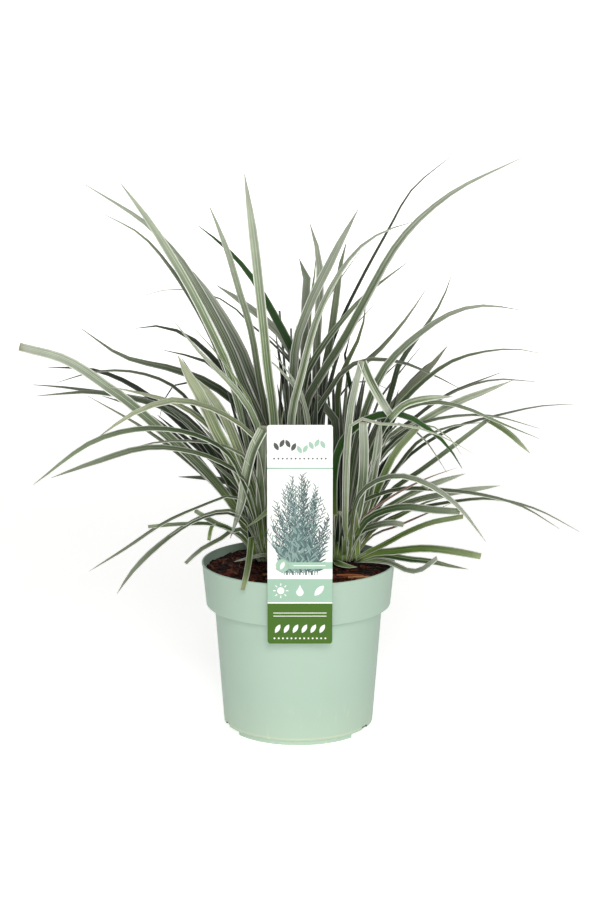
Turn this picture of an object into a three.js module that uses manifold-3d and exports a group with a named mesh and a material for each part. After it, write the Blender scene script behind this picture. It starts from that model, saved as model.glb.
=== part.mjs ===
// Silver mondo grass in a round nursery pot, with its plant label.
// Millimetres, +Z up. The origin is on the pot's axis where the foot rests.
// The front, with the label, faces -Y.
import * as THREE from 'three';
import Module from 'manifold-3d';
import { mergeVertices } from 'three/addons/utils/BufferGeometryUtils.js';

const wasm = await Module();
wasm.setup();

// Driving dimensions of the pot
const potHeight = 166.4;
const rimRadius = 95;
const collarBottom = 125.1;
const collarRadius = 90.8;
const bodyTopRadius = 82.6;
const bodyBottomRadius = 74;
const wall = 1.6;
const footHeight = 4.7;
const footRadius = 71;
const footWidth = 2.6;
const floorTop = footHeight + wall;
const footTurn = -4;
const footGapAngle = 79;
const drainRadius = 5;
const drainCircle = 45;
const drainCount = 6;
const slotSize = [8, 7, 4];
const slotLift = 1;
const slotAngles = [-71, -109, 62, 118];
const potSides = 44;
const holeSides = 12;

// Roundings of the pot's outline: how far in, and how far up or down
const footFlare = 0.3;
const baseEdge = [0.8, 0.2];
const baseRise = 1.8;
const neckBottom = collarBottom - 2.6;
const neckEdge = [1, 0.9];
const collarEdge = [1.4, 1.4];
const collarRise = 0.6;
const rimEdges = [[0.5, 2.4], [0, 1.8], [0.2, 0.3], [0.8, 0]];
const rimInside = 0.5;
const innerStep = 0.8;
const cutMargin = 4;

// Driving dimensions of the soil
const gap = 0.4;
const soilEdge = 156.4;
const moundHeight = 8;
const moundCentre = [5, 36];
const moundSpread = [70, 62];
const crumb = 0.8;
const soilSides = 36;
const soilRings = [84, 73, 60, 47, 34, 21, 8];
const soilSeed = 7;
const soilEase = 0.1;

// Driving dimensions of the label
const labelWidth = 61;
const labelBottom = 109.4;
const labelTop = 319.2;
const labelMiddle = 1.5;
const labelThickness = 0.7;
const labelCorner = 2.5;
const labelBack = -(rimRadius + 0.5);
const tongueWidth = 18;
const tongueInside = -90.8;
const tongueBottom = potHeight - 7.4;

// The rows of leaves, from the front of the clump to its back
const rowCount = 7;
const firstRow = 8;
const rowGap = 9;
const rowSpread = 0.4;
const frontLean = -0.8;
const backLean = 0.5;
const crownMiddle = [4, 166.4];
const crownReach = [50, 14];
const crownBottom = 135.4;
const crownTop = 167.9;
const crownThickness = 6.6;
const rootHeight = 163.9;
const holeTop = 186.4;
const chordError = 1.1;
const curveSteps = 8;

// A leaf's section along its length: narrow in its sheath, full, then tapering
const keelDepth = 1.1;
const keelFloor = 0.3;
const sheathWidth = 0.62;
const sheathShare = 0.3;
const tipPower = 1.9;
const tipLength = 30;
const fullTaper = 0.8;
const cutTaper = [0.18, 4];

// The leaves that fill a tuft's inside: starts and ranges of what varies
const innerFeet = [0.15, 0.7];
const innerScatter = 0.3;
const innerTip = 70;
const innerDroop = 0.25;
const spreadDroop = 200;
const innerBow = [0.45, 0.1];
const innerReach = 0.55;
const innerLevel = 165;
const innerWidth = [5.5, 2.5];
const innerTurn = [15, 25];
const seedSteps = [31, 97];
const spareFeet = { left: [-36, -16], right: [34, 54] };

// The eye that the leaf paths are read from: a path's points lie in the plane
// y = 0 as seen from here, and each leaf is pushed back along its sight lines.
// A path's heights are measured from pathLevel above the ground
const eye = new THREE.Vector3(0, -2000, 666.4);
const pathLevel = 1.4;

// One leaf: foot is where it leaves its crown along X, turn is how far its face
// is turned up from the front in degrees, and path runs from low to high.
// loose leaves start at their path's first point, cut ones end bluntly, lean
// adds to the row's own lean, twist is what turn grows by up to the tip, and
// taper is the share of the length at which the leaf starts to narrow
function leaf(foot, width, turn, path, extra = {}) {
  return { foot, width, turn, path, cut: false, loose: false, lean: 0, twist: 0, taper: 0.5, ...extra };
}

const full = { taper: fullTaper };
const slim = { taper: 0.35 };
const cut = { cut: true };
const looseCut = { loose: true, cut: true };
const loose = { loose: true };

const tufts = [
  {
    name: 'tuft_row1_left', row: 0, color: '#6f7f66', inner: 0, rise: 285, side: [-80, -40],
    leaves: [
      leaf(-31, 6, 65, [[-52, 238], [-70, 274], [-104, 292], [-150, 297], [-200, 284], [-259, 241]],
        { lean: -0.06, twist: -65, taper: 0.7 }),
      leaf(-33, 6.5, 65, [[-50, 244], [-78, 265], [-112, 276], [-150, 278], [-200, 263], [-241, 248]],
        { lean: -0.03, twist: -60, taper: 0.75 }),
      leaf(-29, 4, 45, [[-46, 262], [-72, 280], [-115, 285], [-150, 281], [-178, 271]]),
      leaf(-27, 6.5, 78, [[-41, 285], [-62, 305], [-92, 320], [-122, 325], [-160, 312], [-195, 288]],
        { twist: -78, taper: 0.75 }),
      leaf(-35, 3.7, 60, [[-51, 222], [-66, 230], [-92, 221], [-130, 204], [-170, 177], [-206, 154]],
        { lean: 0.02, twist: -50, taper: 0.7 }),
      leaf(-34, 5.8, 70, [[-52, 203], [-70, 213], [-100, 206], [-140, 178], [-165, 152], [-179, 131]],
        { twist: -70, taper: 0.75 }),
      leaf(-32, 4, 45, [[-56, 212], [-78, 215], [-103, 206], [-126, 190]]),
      leaf(-37, 4, 45, [[-58, 191], [-80, 201], [-110, 202], [-147, 199]], { cut: true, twist: -40 }),
      leaf(-38, 5.5, 20, [[-55, 188], [-68, 197], [-82, 203], [-101, 215]], cut),
      leaf(0, 4, 10, [[-83, 203], [-86, 196], [-88, 185]], looseCut),
      leaf(-36, 4.5, 20, [[-58, 197], [-78, 186], [-96, 176], [-111, 162]], cut),
      leaf(-37, 8.5, 0, [[-37, 240], [-34, 299]], { cut: true, lean: -0.08 }),
      leaf(0, 9.5, 5, [[-35, 295], [-44, 277], [-51, 251], [-56, 223], [-61, 205], [-67, 187]],
        { loose: true, lean: -0.12 }),
      leaf(-43, 6, 10, [[-45, 190, -4], [-48.5, 166, -46], [-51.5, 149, -78], [-55, 135, -88]], cut),
      leaf(-24, 6.5, 15, [[-22, 222], [-36, 209], [-53, 197]], { lean: -0.4 }),
      leaf(-27, 3.5, 20, [[-33, 170.5, -3], [-47.6, 167.6, -9], [-63.3, 163.6, -14]]),
    ],
  },
  {
    name: 'tuft_row1_right', row: 0, color: '#74866a', inner: 0, rise: 285, side: [40, 80],
    leaves: [
      leaf(50, 6.5, 55, [[58, 228], [76, 245], [100, 250], [128, 241], [157, 219], [184, 184]],
        { twist: -50, taper: 0.6 }),
      leaf(48, 7.5, 15, [[64, 203], [84, 215], [105, 219], [130, 216], [158, 214]], cut),
      leaf(54, 5.5, 15, [[66, 172], [84, 181], [106, 193], [130, 203], [161, 209]], cut),
      leaf(46, 6.5, 10, [[58, 192], [72, 199], [90, 203], [103, 201]], cut),
      leaf(57, 7.5, 5, [[73, 172], [92, 174], [120, 177], [139, 176], [159, 173], [179, 169]], cut),
      leaf(59, 6.5, 20, [[78, 170], [92, 169], [110, 166], [130, 164], [146, 160], [167, 156]]),
      leaf(56, 6, 35, [[69, 165], [84, 164], [93, 162], [102, 157], [111, 154], [120, 155],
        [136, 167]], { cut: true, lean: -0.12 }),
      leaf(37, 8, 10, [[35, 255], [43, 284], [62, 304], [97, 312], [123, 299], [145, 280],
        [160, 257]], { lean: 0.08 }),
      leaf(47, 3, 10, [[48, 270], [55, 307], [75, 302], [105, 300], [140, 289], [170, 272]]),
      leaf(45, 6.5, 0, [[50, 310], [61, 363]], cut),
      leaf(0, 8, 0, [[62, 362], [69, 345], [80, 325], [89, 311]], looseCut),
      leaf(0, 6.5, 5, [[88, 306], [104, 321], [128, 327], [150, 328]], loose),
      leaf(43, 9, 0, [[56, 205], [63, 245], [64, 275], [63, 303]], cut),
      leaf(49, 2.2, 20, [[62, 205], [85, 225], [110, 240], [132, 250], [155, 258]]),
      leaf(38, 3.5, 10, [[41, 178], [50, 186], [64, 191]]),
      leaf(36, 3.5, 10, [[34, 209], [37, 216], [43, 211], [49, 193]]),
      leaf(36, 6, 15, [[40, 161.8, -14], [51, 158.6, -22], [58, 158.2, -25]]),
    ],
  },
  {
    name: 'tuft_row2_left', row: 1, color: '#8e9c7a', inner: 2, rise: 285, side: [-75, -30],
    leaves: [
      leaf(-34, 11, 5, [[-52, 238], [-67, 271], [-79, 293], [-88, 314], [-97, 333], [-107, 350],
        [-116, 368]], { lean: -0.15, taper: 0.8 }),
      leaf(-29, 9, 10, [[-47, 246], [-57, 271], [-64, 290], [-74, 313], [-86, 331], [-100, 347]],
        { lean: -0.12, taper: 0.8 }),
      leaf(-27, 6, 10, [[-47, 241], [-51, 264], [-57, 283], [-64, 303], [-68, 314]]),
      leaf(-23, 6.5, 15, [[-40, 300], [-57, 331], [-77, 353], [-97, 374], [-119, 401]]),
      leaf(-33, 7.5, 10, [[-57, 246], [-74, 274], [-93, 289], [-110, 305], [-132, 321]]),
      leaf(-36, 6, 10, [[-53, 232], [-68, 250], [-88, 266]]),
      leaf(-35, 6, 10, [[-54, 243], [-73, 275], [-100, 306]]),
      leaf(-20, 3, 20, [[-44, 318], [-62, 348], [-78, 370], [-101, 396]]),
    ],
  },
  {
    name: 'tuft_row2_right', row: 1, color: '#6a7c5e', inner: 2, rise: 285, side: [35, 85],
    leaves: [
      leaf(43, 5.5, 45, [[52, 216], [72, 229], [100, 237], [140, 236], [180, 231], [218, 220],
        [256, 197]]),
      leaf(52, 6, 15, [[70, 205], [95, 223], [125, 239], [163, 252]], full),
      leaf(54, 2.2, 20, [[73, 190], [98, 200], [125, 212], [149, 222]]),
      leaf(48, 7, 5, [[70, 220], [82, 247], [95, 274], [116, 298]], cut),
      leaf(46, 8, 5, [[58, 195], [70, 235], [77, 275], [80, 305]], full),
      leaf(45, 3, 20, [[70, 255], [98, 302], [122, 287], [145, 253]]),
      leaf(50, 4, 30, [[67, 250], [84, 284], [104, 298], [120, 298]]),
      leaf(41, 6.5, 20, [[70, 270], [92, 312], [125, 347], [155, 366], [205, 375], [233, 371]],
        { twist: 45 }),
      leaf(44, 3, 20, [[75, 275], [110, 302], [137, 296], [152, 282], [159, 271]]),
      leaf(55, 3.5, 20, [[75, 197], [100, 210], [124, 223], [146, 229]]),
    ],
  },
  {
    name: 'tuft_row3_left', row: 2, color: '#9aa890', inner: 4, rise: 285, side: [-75, -25],
    leaves: [
      leaf(-41, 9.5, 5, [[-60, 214], [-91, 255], [-132, 294], [-166, 324], [-181, 335], [-224, 364],
        [-269, 377]], { cut: true, lean: 0.05 }),
      leaf(-25, 7.5, 5, [[-67, 354], [-84, 393], [-103, 432], [-125, 470], [-143, 499],
        [-169, 534]], full),
      leaf(-18, 9, 5, [[-24, 310], [-29, 350], [-36, 420], [-43, 485], [-51, 543]], full),
      leaf(-38, 6.5, 15, [[-58, 262], [-85, 298], [-115, 320], [-150, 331], [-183, 338]]),
      leaf(-31, 6, 15, [[-48, 318], [-66, 342], [-88, 362], [-105, 368], [-131, 374]]),
      leaf(-43, 4.5, 30, [[-66, 222], [-105, 262], [-150, 297], [-204, 329]]),
      leaf(-28, 6, 30, [[-42, 296], [-66, 345], [-88, 396], [-120, 450], [-150, 485], [-186, 505]]),
    ],
  },
  {
    name: 'tuft_row3_centre', row: 2, color: '#96a48e', inner: 4, rise: 305, side: [-22, 26],
    leaves: [
      leaf(-2, 8, 10, [[-7, 305], [3, 350], [18, 405], [38, 446], [61, 475], [84, 489],
        [109, 497]], slim),
      leaf(18, 3.5, 10, [[7, 323], [-2, 341], [-11, 354], [-19, 364], [-27, 374]]),
      leaf(12, 5, 10, [[6, 320], [-7, 343], [-17, 354], [-27, 364], [-38, 373]], { lean: 0.025 }),
      leaf(-10, 3.5, 10, [[-17, 295], [-15, 305], [-14, 318]]),
    ],
  },
  {
    name: 'tuft_row3_right', row: 2, color: '#7c8e70', inner: 3, rise: 285, side: [35, 90],
    leaves: [
      leaf(46, 5.5, 30, [[72, 275], [98, 314], [130, 323], [160, 318], [195, 303], [234, 287]]),
      leaf(48, 4.5, 40, [[75, 262], [110, 298], [150, 309], [190, 309], [234, 297]]),
      leaf(52, 4, 40, [[70, 195], [105, 214], [150, 224], [190, 227], [232, 217], [276, 194]]),
      leaf(51, 6, 15, [[74, 205], [110, 224], [150, 233], [197, 240]], full),
      leaf(45, 7, 15, [[75, 262], [110, 297], [150, 321], [180, 333], [207, 344]], full),
      leaf(42, 8, 15, [[56, 280], [68, 322], [84, 357], [112, 386], [150, 411], [180, 417], [212, 413]]),
      leaf(51, 5, 15, [[88, 232], [123, 258], [186, 307]], cut),
      leaf(0, 6, 10, [[184, 306], [205, 292], [226, 272]], loose),
      leaf(47, 4, 25, [[75, 228], [94, 255], [118, 285], [148, 299], [181, 303]]),
    ],
  },
  {
    name: 'tuft_row4_left', row: 3, color: '#5e6f54', inner: 4, rise: 295, side: [-85, -30],
    leaves: [
      leaf(-22, 9, 10, [[-32, 290], [-51, 337], [-65, 374], [-79, 403], [-95, 432], [-113, 461],
        [-132, 483], [-148, 498], [-203, 533]]),
      leaf(-36, 4.5, 50, [[-62, 255], [-92, 305], [-120, 338], [-155, 352], [-195, 353], [-234, 342]],
        { twist: -20 }),
      leaf(-38, 7, 25, [[-74, 256], [-105, 300], [-129, 317], [-149, 324], [-182, 331], [-207, 333],
        [-231, 331], [-254, 329]]),
      leaf(-42, 7.5, 15, [[-49, 214], [-61, 240], [-83, 247], [-117, 249]]),
      leaf(-18, 6.5, 10, [[-33, 320], [-38, 345], [-42, 374], [-48, 403], [-57, 432], [-65, 461],
        [-75, 489], [-85, 513]], full),
      leaf(-28, 7, 20, [[-50, 322], [-78, 361], [-104, 386], [-132, 397], [-157, 395]]),
      leaf(-32, 8.5, -10, [[-56, 315], [-84, 340], [-120, 355], [-150, 362], [-172, 369],
        [-209, 395]], { twist: 60 }),
      leaf(-30, 3, 20, [[-64, 295], [-84, 331], [-97, 341], [-111, 343], [-120, 340], [-127, 331],
        [-133, 319], [-135, 307]]),
    ],
  },
  {
    name: 'tuft_row4_centre', row: 3, color: '#8b9a82', inner: 6, rise: 325, side: [-20, 30],
    leaves: [
      leaf(2, 8.5, 5, [[-5, 340], [-2, 381], [5, 403], [17, 432], [27, 451], [36, 470], [57, 509]], full),
      leaf(-3, 8.5, 15, [[7, 320], [21, 348], [42, 381], [64, 422], [99, 482], [145, 524], [212, 558]]),
      leaf(-7, 5.5, 25, [[12, 303], [28, 331], [46, 356], [70, 365], [100, 362], [130, 350], [155, 337]]),
      leaf(8, 7, 20, [[6, 345], [20, 373], [40, 400], [64, 427], [105, 459]]),
      leaf(8, 6, 10, [[19, 305], [32, 345], [36, 362], [42, 378], [50, 393]]),
      leaf(24, 8, 10, [[37, 301], [27, 317], [18, 329], [7, 341]], full),
    ],
  },
  {
    name: 'tuft_row4_right', row: 3, color: '#58684a', inner: 3, rise: 295, side: [34, 100],
    leaves: [
      leaf(51, 3.5, 30, [[100, 262], [150, 297], [198, 311], [235, 319], [268, 321]]),
      leaf(40, 8, 5, [[47, 240], [56, 290], [60, 330]]),
      leaf(47, 7, 10, [[66, 230], [84, 290], [97, 335]]),
      leaf(34, 6, 10, [[31, 285], [30, 318], [28, 341]], { lean: 0.12 }),
    ],
  },
  {
    name: 'tuft_row5_left', row: 4, color: '#a3aea0', inner: 4, rise: 305, side: [-90, -30],
    leaves: [
      leaf(-24, 10, 5, [[-32, 315], [-44, 345], [-55, 374], [-71, 403], [-89, 432], [-101, 450]], full),
      leaf(-36, 6.5, 20, [[-80, 262], [-125, 312], [-165, 342], [-200, 355], [-242, 357]]),
      leaf(-38, 6, 25, [[-81, 276], [-117, 314], [-144, 324], [-168, 329], [-207, 335], [-231, 338],
        [-257, 340]]),
      leaf(-40, 6.5, 15, [[-72, 232], [-114, 284], [-159, 318], [-190, 329]]),
      leaf(-22, 6, 10, [[-33, 320], [-41, 346], [-47, 364], [-53, 378]]),
    ],
  },
  {
    name: 'tuft_row5_centre', row: 4, color: '#3f5a2c', inner: 6, rise: 335, side: [-20, 30],
    leaves: [
      leaf(10, 9, 10, [[0, 340], [-2, 364], [-11, 384], [-26, 413], [-43, 442], [-58, 461],
        [-72, 475], [-96, 494]]),
      leaf(18, 7, 10, [[24, 345], [30, 379], [36, 422], [41, 459], [46, 478]], full),
      leaf(15, 3.5, 20, [[24, 345], [36, 390], [58, 438], [86, 490], [108, 528], [147, 561]]),
      leaf(12, 2.5, 40, [[6, 340], [-15, 370], [-27, 383], [-43, 396], [-55, 409], [-68, 420],
        [-90, 429], [-115, 433], [-135, 431], [-148, 427]]),
    ],
  },
  {
    name: 'tuft_row5_right', row: 4, color: '#7b8a5e', inner: 5, rise: 305, side: [36, 100],
    leaves: [
      leaf(38, 6.5, 15, [[39, 310], [38, 330], [40, 345], [44, 356], [53, 374], [61, 393], [65, 420]]),
      leaf(41, 6, 15, [[47, 307], [52, 335], [58, 351], [66, 363], [80, 376], [105, 406], [122, 432]]),
      leaf(44, 6, 15, [[82, 305], [88, 327], [93, 345], [96, 357], [104, 371], [122, 396], [138, 422],
        [147, 447]]),
      leaf(46, 7, 10, [[76, 295], [100, 330], [122, 351], [144, 378]], full),
      leaf(48, 4.5, 30, [[80, 278], [110, 305], [145, 331], [196, 352]]),
      leaf(49, 4, 35, [[78, 266], [115, 309], [150, 333], [190, 345], [229, 343]]),
      leaf(38, 6.5, 10, [[54, 310], [51, 337], [47, 354], [45, 372], [50, 388]]),
      leaf(38, 2.5, 10, [[37, 323], [44, 337], [56, 345], [66, 345], [77, 340], [90, 334]]),
    ],
  },
  {
    name: 'tuft_row6_centre', row: 5, color: '#87967c', inner: 5, rise: 330, side: [-25, 35],
    leaves: [
      leaf(10, 8, 10, [[5, 340], [-13, 383], [-27, 399], [-42, 411], [-56, 422], [-79, 437]], full),
      leaf(14, 4, 15, [[9, 330], [0, 354], [-17, 376], [-30, 390], [-38, 397]]),
      leaf(4, 8.5, 5, [[6, 362], [7, 422], [8, 439], [8, 452], [5, 459], [1, 462]], { taper: 0.9 }),
      leaf(16, 8, 10, [[18, 380], [21, 440], [19, 468], [11, 496]], full),
      leaf(8, 5, 15, [[9, 340], [12, 422], [16, 451], [17, 467]]),
      leaf(-6, 2.5, 10, [[-12, 340], [-18, 412]], cut),
      leaf(-1, 2.5, 10, [[-5, 340], [-7, 395]], cut),
      leaf(12, 2.5, 10, [[5, 354], [19, 407], [31, 428], [45, 450], [65, 477]]),
      leaf(18, 3, 10, [[31, 364], [55, 398], [65, 410], [74, 419]]),
    ],
  },
  {
    name: 'tuft_row6_right', row: 5, color: '#76875f', inner: 4, rise: 300, side: [40, 110],
    leaves: [
      leaf(46, 5, 10, [[80, 300], [88, 327], [97, 359]]),
      leaf(42, 3, 30, [[77, 323], [94, 347], [105, 361], [118, 377]]),
      leaf(44, 8, 15, [[72, 290], [98, 328], [120, 355], [137, 368]]),
      leaf(42, 3, 10, [[69, 330], [81, 347], [95, 360], [103, 368]]),
    ],
  },
  {
    name: 'tuft_row6_left', row: 5, color: '#66775a', inner: 4, rise: 300, side: [-100, -30],
    leaves: [
      leaf(-32, 7, 10, [[-45, 315], [-62, 345], [-68, 358], [-73, 374]]),
    ],
  },
  {
    name: 'tuft_row7_left', row: 6, color: '#6c7d62', inner: 9, rise: 335,
    side: [-140, -12], spread: 0.36,
    leaves: [],
  },
  {
    name: 'tuft_row7_right', row: 6, color: '#6c7d62', inner: 9, rise: 335, side: [18, 140], spread: 0.36,
    leaves: [],
  },
];

// A repeatable stream of numbers from 0 to 1
function numberStream(seed) {
  let state = seed;
  return function next() {
    state = (state + 0x6d2b79f5) | 0;
    let mixed = Math.imul(state ^ (state >>> 15), 1 | state);
    mixed = (mixed + Math.imul(mixed ^ (mixed >>> 7), 61 | mixed)) ^ mixed;
    return ((mixed ^ (mixed >>> 14)) >>> 0) / 4294967296;
  };
}

// Joining and cutting
function solidOf(geometry) {
  const bare = geometry.index ? geometry.toNonIndexed() : geometry.clone();
  bare.deleteAttribute('normal');
  bare.deleteAttribute('uv');
  const merged = mergeVertices(bare, 1e-4);
  const index = merged.index.array;
  const kept = [];
  for (let i = 0; i < index.length; i += 3) {
    const [a, b, c] = [index[i], index[i + 1], index[i + 2]];
    if (a !== b && b !== c && c !== a) kept.push(a, b, c);
  }
  return new wasm.Manifold(new wasm.Mesh({
    numProp: 3,
    vertProperties: new Float32Array(merged.attributes.position.array),
    triVerts: new Uint32Array(kept),
  }));
}

function geometryOf(solid) {
  const mesh = solid.getMesh();
  const geometry = new THREE.BufferGeometry();
  const count = mesh.vertProperties.length / mesh.numProp;
  const positions = new Float32Array(count * 3);
  for (let i = 0; i < count; i += 1) {
    for (let k = 0; k < 3; k += 1) positions[i * 3 + k] = mesh.vertProperties[i * mesh.numProp + k];
  }
  geometry.setAttribute('position', new THREE.BufferAttribute(positions, 3));
  geometry.setIndex(new THREE.BufferAttribute(new Uint32Array(mesh.triVerts), 1));
  geometry.computeVertexNormals();
  return geometry;
}

function joined(solids) {
  return solids.reduce((whole, solid) => whole.add(solid));
}

// Keeps a surface's largest closed shell, without the pockets sealed between crossing leaves
function largestShell(geometry) {
  const index = geometry.index.array;
  const owner = Array.from({ length: geometry.attributes.position.count }, (unused, i) => i);
  const find = (i) => {
    let top = i;
    while (owner[top] !== top) {
      owner[top] = owner[owner[top]];
      top = owner[top];
    }
    return top;
  };
  for (let i = 0; i < index.length; i += 3) {
    owner[find(index[i + 1])] = find(index[i]);
    owner[find(index[i + 2])] = find(index[i]);
  }
  const shells = new Map();
  for (let i = 0; i < index.length; i += 3) {
    const shell = find(index[i]);
    if (!shells.has(shell)) shells.set(shell, []);
    shells.get(shell).push(index[i], index[i + 1], index[i + 2]);
  }
  const largest = [...shells.values()].reduce((best, shell) => (shell.length > best.length ? shell : best));
  geometry.setIndex(largest);
  return geometry;
}

// Shapes turned about the pot's axis, from [radius, height] points
function turned(profile, sides) {
  const points = profile.map(([radius, height]) => new THREE.Vector2(radius, height));
  return new THREE.LatheGeometry(points, sides).rotateX(Math.PI / 2);
}

// A flat outline drawn up to a height, with a number of steps along each arc
function extruded(shape, depth, curveSegments) {
  return new THREE.ExtrudeGeometry(shape, { depth, bevelEnabled: false, curveSegments });
}

function pillar(radius, bottom, top, x, y) {
  const round = new THREE.CylinderGeometry(radius, radius, top - bottom, holeSides);
  return solidOf(round.rotateX(Math.PI / 2).translate(x, y, (top + bottom) / 2));
}

function block(size, x, y, z, angle = 0) {
  const box = new THREE.BoxGeometry(...size).translate(x, y, z);
  return solidOf(box.rotateZ(THREE.MathUtils.degToRad(angle)));
}

// Where the pot's inside wall is, at the heights the soil meets
const innerCollarTop = rimRadius - wall;
const innerCollarBottom = collarRadius - wall;
const innerBodyTop = bodyTopRadius - wall;
const innerBodyBottom = bodyBottomRadius - wall;

function pot() {
  const shell = solidOf(turned([
    [0, footHeight],
    [footRadius - footWidth, footHeight],
    [footRadius - footWidth, 0],
    [footRadius, 0],
    [footRadius + footFlare, footHeight],
    [bodyBottomRadius - baseEdge[0], footHeight + baseEdge[1]],
    [bodyBottomRadius, footHeight + baseRise],
    [bodyTopRadius, neckBottom],
    [bodyTopRadius + neckEdge[0], neckBottom + neckEdge[1]],
    [collarRadius - collarEdge[0], collarBottom - collarEdge[1]],
    [collarRadius, collarBottom + collarRise],
    ...rimEdges.map(([inward, down]) => [rimRadius - inward, potHeight - down]),
    [innerCollarTop, potHeight - rimInside],
    [innerCollarBottom, collarBottom + innerStep],
    [innerBodyTop, collarBottom - innerStep],
    [innerBodyBottom, floorTop],
    [0, floorTop],
  ], potSides));
  const cuts = [];
  for (const side of [-90, 90]) {
    const shape = new THREE.Shape();
    shape.moveTo(footRadius / 2, 0);
    shape.absarc(0, 0, footRadius + cutMargin, -THREE.MathUtils.degToRad(footGapAngle / 2),
      THREE.MathUtils.degToRad(footGapAngle / 2), false);
    shape.closePath();
    const wedge = extruded(shape, footHeight + cutMargin, 6);
    const around = THREE.MathUtils.degToRad(footTurn + 90 + side);
    cuts.push(solidOf(wedge.translate(0, 0, -cutMargin).rotateZ(around)));
  }
  for (let i = 0; i < drainCount; i += 1) {
    const angle = (i / drainCount) * Math.PI * 2;
    const place = [Math.cos(angle) * drainCircle, Math.sin(angle) * drainCircle];
    cuts.push(pillar(drainRadius, footHeight - cutMargin, floorTop + cutMargin, ...place));
  }
  for (const angle of slotAngles) {
    cuts.push(block(slotSize, 0, -bodyBottomRadius, footHeight + slotLift, angle));
  }
  return geometryOf(cuts.reduce((whole, piece) => whole.subtract(piece), shell));
}

// Soil level before its crumbs, higher round the crowns
function soilHeight(x, y) {
  const across = (x - moundCentre[0]) / moundSpread[0];
  const along = (y - moundCentre[1]) / moundSpread[1];
  return soilEdge + moundHeight * Math.exp(-across * across - along * along);
}

function soil(holes) {
  const rise = (soilEdge - collarBottom) / (potHeight - collarBottom);
  const topRadius = innerCollarBottom + (innerCollarTop - innerCollarBottom) * rise - gap - soilEase;
  const side = [
    [0, floorTop + gap],
    [innerBodyBottom - gap, floorTop + gap],
    [innerBodyTop - gap, collarBottom - innerStep + soilEase],
    [innerCollarBottom - gap, collarBottom + innerStep + gap],
  ];
  const rings = [topRadius, ...soilRings, 0].map((radius) => [radius, soilEdge]);
  const geometry = turned([...side, ...rings], soilSides);
  const position = geometry.attributes.position;
  const random = numberStream(soilSeed);
  const ringLength = side.length + rings.length;
  const lifts = rings.map(() => Array.from({ length: soilSides }, () => (random() - 0.5) * 2 * crumb));
  for (let turn = 0; turn <= soilSides; turn += 1) {
    for (let ring = 0; ring < rings.length; ring += 1) {
      const at = turn * ringLength + side.length + ring;
      const lift = rings[ring][0] === 0 ? 0 : lifts[ring][turn % soilSides];
      position.setZ(at, soilHeight(position.getX(at), position.getY(at)) + lift);
    }
  }
  return geometryOf(holes.reduce((whole, hole) => whole.subtract(hole), solidOf(geometry)));
}

// The label: a stiff card in front of the rim, hung on it by a tongue
function label() {
  const half = labelWidth / 2;
  const shape = new THREE.Shape();
  shape.moveTo(-half + labelCorner, labelBottom);
  shape.absarc(half - labelCorner, labelBottom + labelCorner, labelCorner, -Math.PI / 2, 0, false);
  shape.absarc(half - labelCorner, labelTop - labelCorner, labelCorner, 0, Math.PI / 2, false);
  shape.absarc(-half + labelCorner, labelTop - labelCorner, labelCorner, Math.PI / 2, Math.PI, false);
  shape.absarc(-half + labelCorner, labelBottom + labelCorner, labelCorner, Math.PI, Math.PI * 1.5, false);
  const card = extruded(shape, labelThickness, 3);
  card.rotateX(Math.PI / 2).translate(labelMiddle, labelBack, 0);
  const shelfBottom = potHeight + gap;
  const shelfDepth = tongueInside - labelBack + labelThickness;
  const shelf = block([tongueWidth, shelfDepth, labelThickness],
    labelMiddle, tongueInside - shelfDepth / 2, shelfBottom + labelThickness / 2);
  const dropHeight = shelfBottom + labelThickness - tongueBottom;
  const drop = block([tongueWidth, labelThickness, dropHeight],
    labelMiddle, tongueInside - labelThickness / 2, tongueBottom + dropHeight / 2);
  return geometryOf(joined([solidOf(card), shelf, drop]));
}

// How far behind the plane y = 0 a row of leaves lies where it is seen at (x, z)
function rowDepth(row, x, z, lean) {
  const slope = frontLean + ((backLean - frontLean) * row) / (rowCount - 1);
  const across = Math.max(0, Math.abs(x - crownMiddle[0]) - crownReach[0]);
  const along = Math.max(0, Math.abs(z - crownMiddle[1]) - crownReach[1]);
  return firstRow + rowGap * row + (slope + lean) * Math.hypot(across, along);
}

// A point seen at (x, z) in the plane y = 0, pushed back to the depth y
function pushedBack(x, z, y) {
  const reach = (y - eye.y) / -eye.y;
  return new THREE.Vector3(eye.x + (x - eye.x) * reach, y, eye.z + (z - eye.z) * reach);
}

// Drops the points of a line that lie within chordError of the chord past them
function straightened(line) {
  if (line.length < 3) return line;
  const chord = new THREE.Line3(line[0], line.at(-1));
  const near = new THREE.Vector3();
  const errors = line.map((point) => chord.closestPointToPoint(point, true, near).distanceTo(point));
  const worst = errors.indexOf(Math.max(...errors));
  if (errors[worst] < chordError) return [line[0], line.at(-1)];
  return [...straightened(line.slice(0, worst + 1)).slice(0, -1), ...straightened(line.slice(worst))];
}

// The middle line of a leaf from root to tip, as points in the part's frame
function middleLine(blade, row) {
  const rowY = firstRow + rowGap * row;
  const reach = (rowY - eye.y) / -eye.y;
  const root = [blade.foot / reach, eye.z + (rootHeight - eye.z) / reach];
  const lifted = blade.path.map(([x, z, ...depth]) => [x, z + pathLevel, ...depth]);
  const seen = blade.loose ? lifted : [root, ...lifted];
  const free = seen.some((point) => point.length === 3);
  const depthAt = (x, z) => rowDepth(row, x, z, blade.lean);
  const controls = seen.map(([x, z, y]) => new THREE.Vector3(x, y ?? depthAt(x, z), z));
  const curve = new THREE.CatmullRomCurve3(controls, false, 'centripetal');
  const points = curve.getPoints(curveSteps * (controls.length - 1));
  const line = straightened(points.map((at) => pushedBack(at.x, at.z, free ? at.y : depthAt(at.x, at.z))));
  const [before, tip] = line.slice(-2);
  const span = before.distanceTo(tip);
  if (blade.taper >= fullTaper && span > 2 * tipLength) {
    line.splice(-1, 0, tip.clone().lerp(before, tipLength / span));
  }
  return line;
}

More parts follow.
